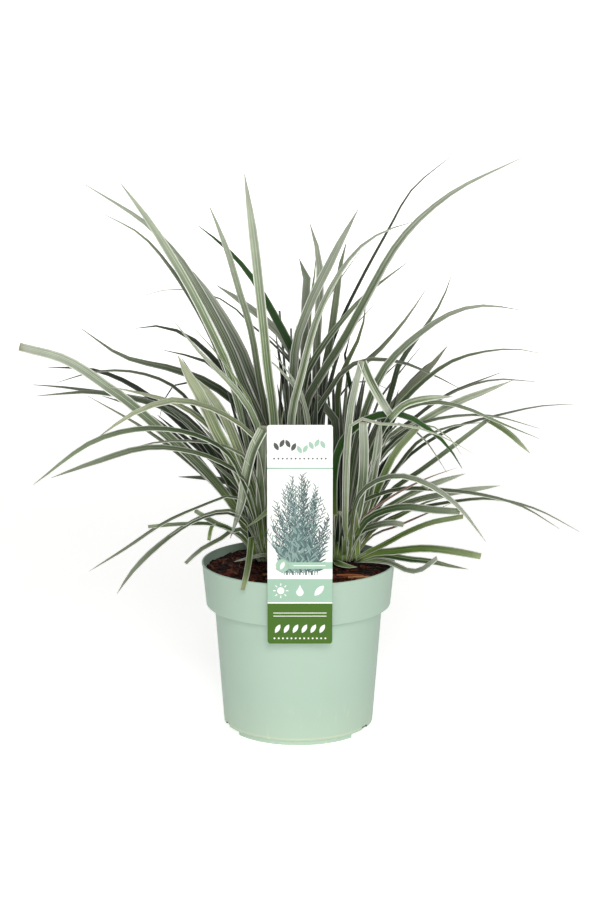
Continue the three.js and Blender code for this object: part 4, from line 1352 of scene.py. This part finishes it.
def rounded(mesh: Mesh, parts: Sequence[Vert | Edge], offset: float, segments: int,
            affect: str = "VERTICES") -> None:
    """Rounds corners or edges off.

    Args:
        mesh: The mesh that holds them.
        parts: The corners or edges.
        offset: How far back the rounding starts, in millimetres.
        segments: How many steps it has.
        affect: "VERTICES" for corners or "EDGES" for edges.
    """
    bmesh.ops.bevel(mesh, geom=parts, offset=offset * MM, offset_type="OFFSET", segments=segments,
                    profile=0.5, affect=affect, material=-1)


def spun(mesh: Mesh, profile: Sequence[tuple[float, float, float]], steps: int) -> None:
    """Spins a profile about the pot's axis.

    Args:
        mesh: The mesh to add to.
        profile: Radius, height and rounding of each corner in millimetres.
        steps: How many sides the spun shape has.
    """
    corners = [mesh.verts.new((radius * MM, 0.0, height * MM)) for radius, height, _ in profile]
    for a, b in zip(corners, corners[1:]):
        mesh.edges.new((a, b))
    for corner, (_, _, rounding) in zip(corners, profile):
        if rounding:
            rounded(mesh, [corner], rounding, segments=4)
    bmesh.ops.spin(mesh, geom=[*mesh.verts, *mesh.edges], cent=(0, 0, 0), axis=(0, 0, 1),
                   dvec=(0, 0, 0), angle=math.tau, steps=steps, use_merge=True)
    bmesh.ops.remove_doubles(mesh, verts=mesh.verts, dist=0.00001)
    bmesh.ops.recalc_face_normals(mesh, faces=mesh.faces)


@dataclass(frozen=True)
class Pot:
    """The round nursery pot with its stepped collar and its broken foot ring, in millimetres."""

    height: float = 166.4
    rim_radius: float = 95.0
    collar_bottom: float = 125.1
    collar_radius: float = 90.8
    body_top_radius: float = 82.6
    body_bottom_radius: float = 74.0
    wall: float = 1.6
    foot_height: float = 4.7
    foot_radius: float = 71.0
    foot_width: float = 2.6
    foot_flare: float = 0.3
    foot_turn: float = -4.0
    foot_gap: float = 79.0
    edge_inset: float = 0.2
    collar_rise: float = 1.5
    rim_inset: float = 0.5
    rim_bottom: float = 2.6
    rim_edge: float = 1.9
    inner_steps: Point = (0.5, 0.8)
    drain_radius: float = 5.0
    drain_circle: float = 45.0
    drain_count: int = 6
    drain_sides: int = 24
    slot_size: Point = (12.0, 7.0, 3.2)
    slot_angles: Point = (-71.0, -109.0, 62.0, 118.0)
    cut_reach: float = 100.0
    cut_depth: float = 12.0
    cut_margin: float = 0.01
    sides: int = 160
    sharp: float = 32.0

    @property
    def floor_top(self) -> float:
        """The height of the inside floor."""
        return self.foot_height + self.wall

    def profile(self) -> list[tuple[float, float, float]]:
        """Draws the wall's section.

        Returns:
            The radius, height and rounding of each corner.
        """
        rim, collar = self.rim_radius, self.collar_radius
        top, bottom = self.body_top_radius, self.body_bottom_radius
        foot_inside = self.foot_radius - self.foot_width
        neck = self.collar_bottom - self.collar_rise
        return [
            (0, self.foot_height, 0),
            (foot_inside, self.foot_height, 0.4),
            (foot_inside, 0, 0.3),
            (self.foot_radius, 0, 0.5),
            (self.foot_radius + self.foot_flare, self.foot_height, 0.3),
            (bottom - self.edge_inset, self.foot_height, 1.0),
            (top, neck, 0.5),
            (collar - self.edge_inset, neck, 1.6),
            (rim - self.rim_inset, self.height - self.rim_bottom, 0.3),
            (rim, self.height - self.rim_edge, 0.3),
            (rim, self.height, 0.6),
            (rim - self.wall, self.height, 0.5),
            (collar - self.wall, self.collar_bottom + self.inner_steps[0], 0.5),
            (top - self.wall, self.collar_bottom - self.inner_steps[1], 0.5),
            (bottom - self.wall, self.floor_top, 0.8),
            (0, self.floor_top, 0),
        ]

    def cutters(self) -> Mesh:
        """Makes the solids that open the foot ring, the drain holes and the base slots.

        Returns:
            The solids in one mesh.
        """
        mesh = bmesh.new()
        depth = Vector((0, 0, self.cut_depth * MM))
        start = self.foot_height - self.cut_margin
        far = self.cut_reach
        spread = math.tan(math.radians(self.foot_gap / 2)) * far
        wedge = [Vector((1, 0, 0)), Vector((far, -spread, 0)), Vector((far, spread, 0))]
        for turn in (self.foot_turn, self.foot_turn + 180):
            slab(mesh, self.placed(wedge, turn, start - self.cut_margin), -depth)
        radius, circle = self.drain_radius, self.drain_circle
        angles = [math.tau * k / self.drain_sides for k in range(self.drain_sides)]
        hole = [Vector((circle + radius * math.cos(a), radius * math.sin(a), 0)) for a in angles]
        for i in range(self.drain_count):
            slab(mesh, self.placed(hole, 360 * i / self.drain_count, start), depth)
        width, deep, tall = self.slot_size
        slot = [Vector((side * width / 2, -self.body_bottom_radius + way * deep / 2, 0))
                for side, way in CORNERS]
        for turn in self.slot_angles:
            slab(mesh, self.placed(slot, turn, start), Vector((0, 0, tall * MM)))
        bmesh.ops.recalc_face_normals(mesh, faces=mesh.faces)
        return mesh

    @staticmethod
    def placed(outline: Sequence[Vector], turn: float, height: float) -> list[Vector]:
        """Turns an outline about the pot's axis and lifts it to a height.

        Args:
            outline: The corners in millimetres.
            turn: The angle in degrees.
            height: The height in millimetres.

        Returns:
            The corners in metres.
        """
        spin = Matrix.Rotation(math.radians(turn), 3, "Z")
        return [(spin @ corner + Vector((0, 0, height))) * MM for corner in outline]

    def build(self, finish: Material) -> Object:
        """Makes the pot as one piece.

        Args:
            finish: The plastic.

        Returns:
            The piece.
        """
        mesh = bmesh.new()
        spun(mesh, self.profile(), self.sides)
        piece = piece_from(mesh, "pot_shell", [finish])
        tool = piece_from(self.cutters(), "pot_cutters", [])
        carve = piece.modifiers.new("openings", "BOOLEAN")
        carve.operation = "DIFFERENCE"
        carve.solver = "EXACT"
        carve.object = tool
        bpy.context.view_layer.update()
        shown = piece.evaluated_get(bpy.context.evaluated_depsgraph_get())
        carved = bpy.data.meshes.new_from_object(shown)
        piece.modifiers.clear()
        piece.data = carved
        bpy.data.objects.remove(tool)
        carved.shade_smooth()
        carved.set_sharp_from_angle(angle=math.radians(self.sharp))
        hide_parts("pot")
        return piece


@dataclass(frozen=True)
class PottingMix:
    """The ground in the pot, with bark chips and fibres on it, in millimetres.

    side is the plug's outline below its top, as radius and height. crumbs are the
    height and size of three layers of crumbs. slivers are the strands of the long
    splinter: shift along X, lift, radius and tone.
    """

    edge: float = 156.4
    mound_height: float = 8.0
    mound_middle: Point = (5.0, 36.0)
    mound_spread: Point = (70.0, 62.0)
    radius: float = 91.6
    side: tuple[Point, ...] = ((91.6, 153.6), (88.9, 126.4), (80.6, 124.2), (72.0, 6.8))
    cells: int = 120
    crumbs: tuple[Point, ...] = ((1.3, 9.0), (0.9, 3.5), (0.5, 1.6))
    seed: int = 11
    chips: int = 520
    fibres: int = 150
    litter_reach: Point = (88.0, 89.0)
    pale_corner: Point = (30.0, -35.0)
    pale_shares: Point = (0.25, 0.02)
    bedding: float = 0.3
    chip_size: tuple[Point, ...] = ((3.0, 11.0), (1.6, 4.5), (0.8, 2.0))
    chip_pinch: Point = (0.2, 1.2)
    chip_jitter: float = 0.3
    chip_tilt: float = 0.35
    fibre_length: Point = (9.0, 24.0)
    fibre_bow: float = 5.0
    fibre_radius: Point = (0.3, 0.6)
    fibre_tilt: float = 0.12
    dark_tones: tuple[str, ...] = ("3A1811", "562418", "1A0C09", "7C3824", "5C2A19", "9A5230")
    pale_tones: tuple[str, ...] = ("B08358", "C49A6C", "9C6A42")
    slivers: tuple[tuple[float, float, float, str], ...] = (
        (0.0, 0.0, 2.1, "C08050"), (-5.0, 0.6, 1.4, "8E4E30"),
        (3.0, 1.0, 1.0, "D09A6A"), (-11.0, 1.2, 1.6, "B06A44"))
    sliver_slant: float = -0.4
    splinter: tuple[Point, ...] = ((74.0, -38.5, 157.6), (66.0, -39.5, 159.0),
                                   (58.0, -40.5, 159.6), (48.0, -40.0, 159.4))

    def height(self, x: float, y: float) -> float:
        """Works out the mound.

        Args:
            x: The place along X.
            y: The place along Y.

        Returns:
            How high the ground lies there without its crumbs.
        """
        across = (x - self.mound_middle[0]) / self.mound_spread[0]
        along = (y - self.mound_middle[1]) / self.mound_spread[1]
        return self.edge + self.mound_height * math.exp(-across * across - along * along)

    def relief(self, x: float, y: float) -> float:
        """Returns the height of the crumbs at a place."""
        place = Vector((x, y, 0.0))
        return sum(height * noise.noise(place / size) for height, size in self.crumbs)

    def ground(self, finish: Material) -> Object:
        """Makes the ground as a closed plug with a crumbly top.

        Args:
            finish: The potting mix.

        Returns:
            The piece.
        """
        mesh = bmesh.new()
        top = bmesh.ops.create_grid(mesh, x_segments=self.cells, y_segments=self.cells, size=1.0)
        for vert in top["verts"]:
            u, v = vert.co.x, vert.co.y
            x = u * math.sqrt(1 - v * v / 2) * self.radius
            y = v * math.sqrt(1 - u * u / 2) * self.radius
            vert.co = Vector((x, y, self.height(x, y) + self.relief(x, y))) * MM
        rim = [edge for edge in mesh.edges if edge.is_boundary]
        for radius, height in self.side:
            fresh, rim, _ = grown_edges(mesh, rim)
            for vert in fresh:
                outward = Vector((vert.co.x, vert.co.y)).normalized() * radius
                vert.co = Vector((outward.x, outward.y, height)) * MM
        bmesh.ops.holes_fill(mesh, edges=rim, sides=0)
        bmesh.ops.recalc_face_normals(mesh, faces=mesh.faces)
        piece = piece_from(mesh, "potting_mix", [finish], sharp=60)
        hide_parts("soil")
        return piece

    def litter(self, finish: Material) -> Object:
        """Makes the bark chips, slivers and fibres that lie on the ground.

        Args:
            finish: The bark.

        Returns:
            The piece.
        """
        numbers = random.Random(self.seed)
        mesh = bmesh.new()
        tone = mesh.verts.layers.float_color.new("chip_tone")
        corner_x, corner_y = self.pale_corner
        corner_share, pale_share = self.pale_shares
        spread, edge = self.litter_reach
        for i in range(self.chips + self.fibres):
            angle, reach = numbers.uniform(0, math.tau), spread * math.sqrt(numbers.random())
            x, y = reach * math.cos(angle), reach * math.sin(angle)
            in_corner = x > corner_x and y < corner_y
            pale = (in_corner and numbers.random() < corner_share) or numbers.random() < pale_share
            add, tilt = (self.chip, self.chip_tilt) if i < self.chips else (self.fibre, self.fibre_tilt)
            verts, length, thickness = add(mesh, numbers)
            turn = (Matrix.Rotation(numbers.uniform(0, math.tau), 3, "Z")
                    @ Matrix.Rotation(numbers.uniform(-tilt, tilt), 3, "X")
                    @ Matrix.Rotation(numbers.uniform(-tilt, tilt), 3, "Y"))
            inside = min(1.0, (edge - length / 2) / max(reach, 1.0))
            x, y = x * inside, y * inside
            level = self.height(x, y) + self.relief(x, y) + thickness * self.bedding
            place = Vector((x, y, level))
            colour = paint(numbers.choice(self.pale_tones if pale else self.dark_tones))
            for vert in verts:
                vert.co = (turn @ vert.co + place) * MM
                vert[tone] = colour
        for aside, lift, radius, code in self.slivers:
            slant = aside * self.sliver_slant
            line = [Vector((x + aside, y + slant, z + lift)) * MM for x, y, z in self.splinter]
            for vert in strand(mesh, line, radius * MM, sides=6):
                vert[tone] = paint(code)
        bmesh.ops.recalc_face_normals(mesh, faces=mesh.faces)
        piece = piece_from(mesh, "bark_litter", [finish], sharp=40)
        return piece

    def chip(self, mesh: Mesh, numbers: random.Random) -> tuple[list[Vert], float, float]:
        """Adds a rough chip about the origin.

        Args:
            mesh: The mesh to add to.
            numbers: The source of its differences.

        Returns:
            Its corners, length and thickness.
        """
        size = Vector([numbers.uniform(*limits) for limits in self.chip_size])
        verts = bmesh.ops.create_cube(mesh, size=1.0)["verts"]
        for vert in verts:
            pinch = 1 - abs(vert.co.x) * numbers.uniform(*self.chip_pinch)
            vert.co = Vector((vert.co.x * size.x, vert.co.y * size.y * pinch, vert.co.z * size.z * pinch))
            vert.co += Vector([numbers.uniform(-self.chip_jitter, self.chip_jitter) for _ in range(3)])
        return verts, size.x, size.z

    def fibre(self, mesh: Mesh, numbers: random.Random) -> tuple[list[Vert], float, float]:
        """Adds a curved fibre about the origin.

        Args:
            mesh: The mesh to add to.
            numbers: The source of its differences.

        Returns:
            Its corners, length and radius.
        """
        length = numbers.uniform(*self.fibre_length)
        bow = numbers.uniform(-self.fibre_bow, self.fibre_bow)
        radius = numbers.uniform(*self.fibre_radius)
        shares = (-0.5, -0.25, 0.0, 0.25, 0.5)
        line = [Vector((length * share, bow * (1 - 4 * share * share), 0.0)) for share in shares]
        return strand(mesh, line, radius, sides=4), length, radius


class Outline(Enum):
    """The outlines of printed shapes: how many corners and how pointed their ends are."""

    OVAL = (20, 0.0)
    LENS = (12, 0.75)
    BOX = (4, 0.0)
    DROP = (24, 0.0)


@dataclass(frozen=True)
class Motif:
    """One flat printed shape on the label, in millimetres and degrees.

    x is counted from the label's middle line, and z from the ground.
    """

    x: float
    z: float
    width: float
    height: float
    turn: float = 0.0
    outline: Outline = Outline.LENS

    def corners(self) -> list[Point]:
        """Draws the shape before it is turned.

        Returns:
            Its corners about its middle.
        """
        half_width, half_height = self.width / 2, self.height / 2
        if self.outline is Outline.BOX:
            return [(x * half_width, z * half_height) for x, z in CORNERS]
        count, pointed = self.outline.value
        circle = [(math.cos(a), math.sin(a)) for a in (math.tau * i / count for i in range(count))]
        if self.outline is Outline.DROP:
            return [(across * half_width * (1 - max(0.0, up) ** 2 * 0.75),
                     (up + 0.9 * max(0.0, up) ** 4) * half_height) for across, up in circle]
        return [(across * half_width, up * (1 - pointed * abs(across) ** 3) * half_height)
                for across, up in circle]


def dot(x: float, z: float, size: float) -> Motif:
    """Makes a round dot."""
    return Motif(x, z, size, size, 0, Outline.OVAL)


def bar(x: float, z: float, width: float, height: float, turn: float = 0.0) -> Motif:
    """Makes a plain bar."""
    return Motif(x, z, width, height, turn, Outline.BOX)


@dataclass(frozen=True)
class SprigRule:
    """How the picture's fanned sprigs of paired leaves grow, in millimetres and degrees.

    A pair of numbers is a size with what it loses, or the limits of what varies.
    """

    seed: int = 5
    count: int = 33
    foot_height: float = 175.4
    reach: Point = (99.0, 50.0)
    reach_power: float = 1.6
    reach_ease: Point = (0.72, 1.0)
    pair_gap: float = 2.1
    foot_spread: float = 15.0
    fan: float = 17.0
    sway: float = 1.5
    leaf_length: Point = (11.0, 6.5)
    leaf_ease: Point = (0.8, 1.2)
    slimness: float = 0.15
    leaf_turn: Point = (16.0, 52.0)
    side_turn: float = 18.0
    stem_turn: float = 14.0
    stem_width: float = 0.5
    picture_half: float = 29.0
    shades: tuple[int, ...] = (0, 0, 1, 1, 2, 2, 3)

    def grow(self, inks: int) -> list[list[Motif]]:
        """Lays out the sprigs.

        Args:
            inks: How many inks the picture has.

        Returns:
            The shapes of each ink, darkest first.
        """
        numbers = random.Random(self.seed)
        printed: list[list[Motif]] = [[] for _ in range(inks)]
        for i in range(self.count):
            share = i / (self.count - 1) * 2 - 1
            shade = numbers.choice(self.shades)
            reach = self.reach[0] - self.reach[1] * abs(share) ** self.reach_power
            reach *= numbers.uniform(*self.reach_ease)
            pairs = round(reach / self.pair_gap)
            for k in range(pairs):
                along = (k + 1) / pairs
                x = share * (self.foot_spread + self.fan * along ** 2)
                x += self.sway * math.sin(5 * along + i)
                z = self.foot_height + reach * along
                size = self.leaf_length[0] - self.leaf_length[1] * along
                size *= numbers.uniform(*self.leaf_ease)
                turn = 90 - (k % 2 * 2 - 1) * numbers.uniform(*self.leaf_turn) - self.side_turn * share
                dx, dz = math.cos(math.radians(turn)) * size, math.sin(math.radians(turn)) * size
                if abs(x + dx) < self.picture_half:
                    blade = Motif(x + dx / 2, z + dz / 2, size, size * self.slimness, turn)
                    printed[(shade + (k % 3 == 0)) % inks].append(blade)
                stem_turn = 90 - self.stem_turn * share * along
                printed[0].append(bar(x, z, reach / pairs * 1.3, self.stem_width, stem_turn))
        return printed


@dataclass(frozen=True)
class PlantLabel:
    """The stiff card in front of the rim and the tongue that hangs it there, in millimetres.

    plain_inks holds each plain ink's name, its colour and how proud of the card it
    lies. Each shape of an ink lies lift_step more proud than the one before.
    """

    width: float = 61.0
    bottom: float = 109.4
    top: float = 319.2
    middle: float = 1.5
    back: float = -95.5
    thickness: float = 0.7
    corner: float = 2.5
    edge_rounding: float = 0.12
    tongue_width: float = 18.0
    tongue_thickness: float = 0.6
    tongue_route: tuple[Point, ...] = ((-95.4, 166.85), (-92.2, 166.85), (-91.6, 166.7),
                                       (-91.2, 166.2), (-91.1, 165.4), (-91.1, 159.2))
    header_height: float = 299.0
    dot_heights: Point = (287.5, 114.6)
    badge_height: float = 185.3
    sign_height: float = 161.0
    sign_gap: float = 18.0
    rule_heights: Point = (139.3, 136.3)
    row_height: float = 124.0
    picture_inks: tuple[str, ...] = ("1E3236", "34504F", "4C6A69", "7F9A93")
    picture_lift: Point = (0.03, 0.05)
    lift_step: float = 0.00005
    plain_inks: tuple[tuple[str, str, float], ...] = (
        ("charcoal", "3C403C", 0.04), ("mint", "9CBDA8", 0.04), ("white", "F2F4EE", 0.04),
        ("badge", "9CBDA8", 0.26), ("badge_white", "F2F4EE", 0.28))

    def card(self, finish: Material) -> Object:
        """Makes the card with its round corners and the tongue behind it.

        Args:
            finish: The printed card.

        Returns:
            The piece.
        """
        mesh = bmesh.new()
        bmesh.ops.create_grid(mesh, x_segments=1, y_segments=1, size=0.5)
        for vert in mesh.verts:
            height = (self.top + self.bottom) / 2 + vert.co.y * (self.top - self.bottom)
            vert.co = Vector((self.middle + vert.co.x * self.width, self.back, height)) * MM
        rounded(mesh, list(mesh.verts), self.corner, segments=6)
        grown = bmesh.ops.extrude_face_region(mesh, geom=list(mesh.faces))["geom"]
        bmesh.ops.translate(mesh, verts=only(Vert, grown), vec=(0, -self.thickness * MM, 0))
        bmesh.ops.recalc_face_normals(mesh, faces=mesh.faces)
        face = (self.back - self.thickness) * MM
        front = [edge for edge in mesh.edges
                 if all(abs(vert.co.y - face) < 1e-6 for vert in edge.verts)]
        rounded(mesh, front, self.edge_rounding, segments=2, affect="EDGES")
        self.tongue(mesh)
        piece = piece_from(mesh, "label_card", [finish], sharp=30)
        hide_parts("label")
        return piece

    def tongue(self, mesh: Mesh) -> None:
        """Adds the bent strip that goes over the rim and down inside it.

        Args:
            mesh: The card's mesh.
        """
        half = self.tongue_width / 2
        start, *route = self.tongue_route
        edge = [mesh.verts.new(Vector((self.middle + side * half, *start)) * MM) for side in (-1, 1)]
        edges, faces = [mesh.edges.new(edge)], []
        for y, z in route:
            fresh, edges, made = grown_edges(mesh, edges)
            faces += made
            for vert in fresh:
                vert.co.y, vert.co.z = y * MM, z * MM
        bmesh.ops.recalc_face_normals(mesh, faces=faces)
        bmesh.ops.solidify(mesh, geom=faces, thickness=self.tongue_thickness * MM)

    def marks(self) -> dict[str, list[Motif]]:
        """Lays out the plain shapes outside the picture, by ink.

        Returns:
            The shapes by the name of their ink.
        """
        header = [Motif(-22 + 5.4 * i, self.header_height + 3.2 * math.sin(i * 1.1), 8.4, 4.2,
                        62 if i % 2 else 118) for i in range(9)]
        dots, low_dots = ([dot(-24 + 4 * i, z, 1.7) for i in range(13)] for z in self.dot_heights)
        angles = [math.tau * i / 8 for i in range(8)]
        rays = [bar(6 * math.cos(a) - self.sign_gap, 6 * math.sin(a) + self.sign_height, 2.4, 0.9,
                    math.degrees(a)) for a in angles]
        sun = [dot(-self.sign_gap, self.sign_height, 6.6), *rays]
        drop = Motif(0, self.sign_height - 1.4, 7, 7.6, 0, Outline.DROP)
        blade = Motif(self.sign_gap, self.sign_height, 13, 6, 48)
        rules = [bar(0, z, 50, 0.7) for z in self.rule_heights]
        row = [Motif(-21 + 8.4 * i, self.row_height, 9.5, 4.2, 60) for i in range(6)]
        return {
            "charcoal": [*header[:4], *dots],
            "mint": header[4:],
            "white": [*sun, drop, blade, *rules, *row, *low_dots],
            "badge": [bar(9.5, self.badge_height, 42, 6.4), dot(-16.5, self.badge_height, 12.4)],
            "badge_white": [Motif(-16.5, self.badge_height, 8.4, 3.8, 66),
                            bar(9, self.badge_height, 30, 0.8)],
        }

    def motifs(self, name: str, shapes: Sequence[Motif], lift: float, finish: Material) -> Object:
        """Prints flat shapes just proud of the card.

        Args:
            name: The piece's name.
            shapes: The shapes to print.
            lift: How proud they are in millimetres.
            finish: Their ink.

        Returns:
            The piece.
        """
        mesh = bmesh.new()
        face = self.back - self.thickness
        for i, shape in enumerate(shapes):
            turn = Matrix.Rotation(math.radians(shape.turn), 2)
            outline = []
            for x, z in shape.corners():
                x, z = turn @ Vector((x, z))
                outline.append(Vector((self.middle + shape.x + x, face, shape.z + z)) * MM)
            slab(mesh, outline, Vector((0, -(lift + i * self.lift_step) * MM, 0)))
        bmesh.ops.recalc_face_normals(mesh, faces=mesh.faces)
        piece = piece_from(mesh, name, [finish], sharp=30)
        return piece

    def build(self) -> None:
        """Makes the card and everything printed on it."""
        self.card(CardFinish().material("printed_card"))
        lift, lift_gap = self.picture_lift
        sprigs = SprigRule().grow(len(self.picture_inks))
        for i, (code, shapes) in enumerate(zip(self.picture_inks, sprigs)):
            ink = InkFinish(paint(code)).material(f"picture_ink_{i}")
            self.motifs(f"label_sprigs_{i}", shapes, lift + lift_gap * i, ink)
        marks = self.marks()
        for name, code, lift in self.plain_inks:
            ink = InkFinish(paint(code)).material("plain_ink_" + name)
            self.motifs("label_marks_" + name, marks[name], lift, ink)


@dataclass(frozen=True)
class SoftLight:
    """One soft square light that faces the plant, in metres and watts."""

    name: str
    place: Point
    size: float
    watts: float
    colour: Point
    target: Point = (0.0, 0.0, 0.28)

    def build(self) -> None:
        """Hangs the light."""
        data = bpy.data.lights.new(self.name, "AREA")
        data.shape = "SQUARE"
        data.size, data.energy, data.color = self.size, self.watts, self.colour
        lamp = bpy.data.objects.new(self.name, data)
        lamp.location = self.place
        aim = Vector(self.target) - Vector(self.place)
        lamp.rotation_euler = aim.to_track_quat("-Z", "Y").to_euler()
        bpy.context.scene.collection.objects.link(lamp)


@dataclass(frozen=True)
class Studio:
    """The camera, the soft lights, the pale floor and the room's light.

    Lengths are in metres, but for the sensor in millimetres. Angles are in degrees.
    """

    eye: Point = (0.0, -2.0, 0.6664)
    pitch: float = 11.02
    pan: float = 0.047
    focal_pixels: float = 2092.0
    picture_height: float = 900.0
    sensor: float = 36.0
    clip: Point = (0.05, 50.0)
    room_light: float = 0.24
    sheet_half: float = 0.85
    sheet_flare: float = 0.36
    sheet_front: float = -2.5
    flare_start: float = 1.2
    bend_start: float = 4.6
    bend_radius: float = 1.0
    bend_steps: int = 12
    sheet_top: float = 12.0
    lights: tuple[SoftLight, ...] = (
        SoftLight("key_light", (0.2, -2.5, 1.5), 0.9, 34.0, (1.0, 0.99, 0.98)),
        SoftLight("low_light", (0.0, -2.4, 0.4), 0.8, 10.0, (1.0, 1.0, 0.98)),
        SoftLight("side_light", (1.4, -2.2, 1.0), 1.0, 6.0, (0.98, 0.99, 1.0)),
    )

    def camera(self) -> None:
        """Sets up the photograph's view."""
        data = bpy.data.cameras.new("front_view")
        data.sensor_width = self.sensor
        data.lens = self.focal_pixels * self.sensor / self.picture_height
        data.clip_start, data.clip_end = self.clip
        camera = bpy.data.objects.new("front_view", data)
        camera.location = self.eye
        camera.rotation_euler = (math.radians(90 - self.pitch), 0.0, -math.radians(self.pan))
        bpy.context.scene.collection.objects.link(camera)
        bpy.context.scene.camera = camera

    def floor(self, finish: Material) -> None:
        """Lays a pale sheet that widens and curves up far behind the plant.

        Args:
            finish: The paper.
        """
        mesh = bmesh.new()
        ends = [mesh.verts.new((side * self.sheet_half, self.sheet_front, 0.0)) for side in (-1, 1)]
        edges = [mesh.edges.new(ends)]
        angles = [math.pi / 2 * i / self.bend_steps for i in range(1, self.bend_steps + 1)]
        bend = [(self.bend_start + self.bend_radius * math.sin(a), self.bend_radius * (1 - math.cos(a)))
                for a in angles]
        back = self.bend_start + self.bend_radius
        for y, z in ((self.flare_start, 0.0), (self.bend_start, 0.0), *bend, (back, self.sheet_top)):
            fresh, edges, _ = grown_edges(mesh, edges)
            half = self.sheet_half + (y - self.flare_start) * self.sheet_flare
            for vert in fresh:
                vert.co = Vector((math.copysign(half, vert.co.x), y, z))
        bmesh.ops.recalc_face_normals(mesh, faces=mesh.faces)
        data = bpy.data.meshes.new("floor_sheet")
        mesh.to_mesh(data)
        mesh.free()
        data.shade_smooth()
        data.materials.append(finish)
        sheet = bpy.data.objects.new("floor_sheet", data)
        bpy.context.scene.collection.objects.link(sheet)

    def room(self) -> None:
        """Fills the room with a weak even light."""
        world = bpy.data.worlds.new("soft_room")
        world.use_nodes = True
        background = world.node_tree.nodes["Background"]
        background.inputs["Color"].default_value = (1.0, 1.0, 1.0, 1.0)
        background.inputs["Strength"].default_value = self.room_light
        bpy.context.scene.world = world
        bpy.context.scene.view_settings.view_transform = "Standard"

    def build(self) -> None:
        """Sets up the whole studio."""
        self.camera()
        for light in self.lights:
            light.build()
        self.floor(FloorFinish().material("pale_paper"))
        self.room()


def main() -> None:
    """Builds the studio, then every piece of the plant in order."""
    logging.basicConfig(level=logging.INFO, format="%(message)s")
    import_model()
    Studio().build()
    Pot().build(PlasticFinish().material("mint_plastic"))
    mix = PottingMix()
    mix.ground(MixFinish().material("damp_bark_mix"))
    mix.litter(ChipFinish().material("bark_chips"))
    PlantLabel().build()
    upper = LeafFinish().material("leaf_upper", underside=False)
    under = LeafFinish().material("leaf_under", underside=True)
    for tuft in TUFTS:
        tuft.build(upper, under)
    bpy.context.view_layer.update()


if __name__ == "__main__":
    main()
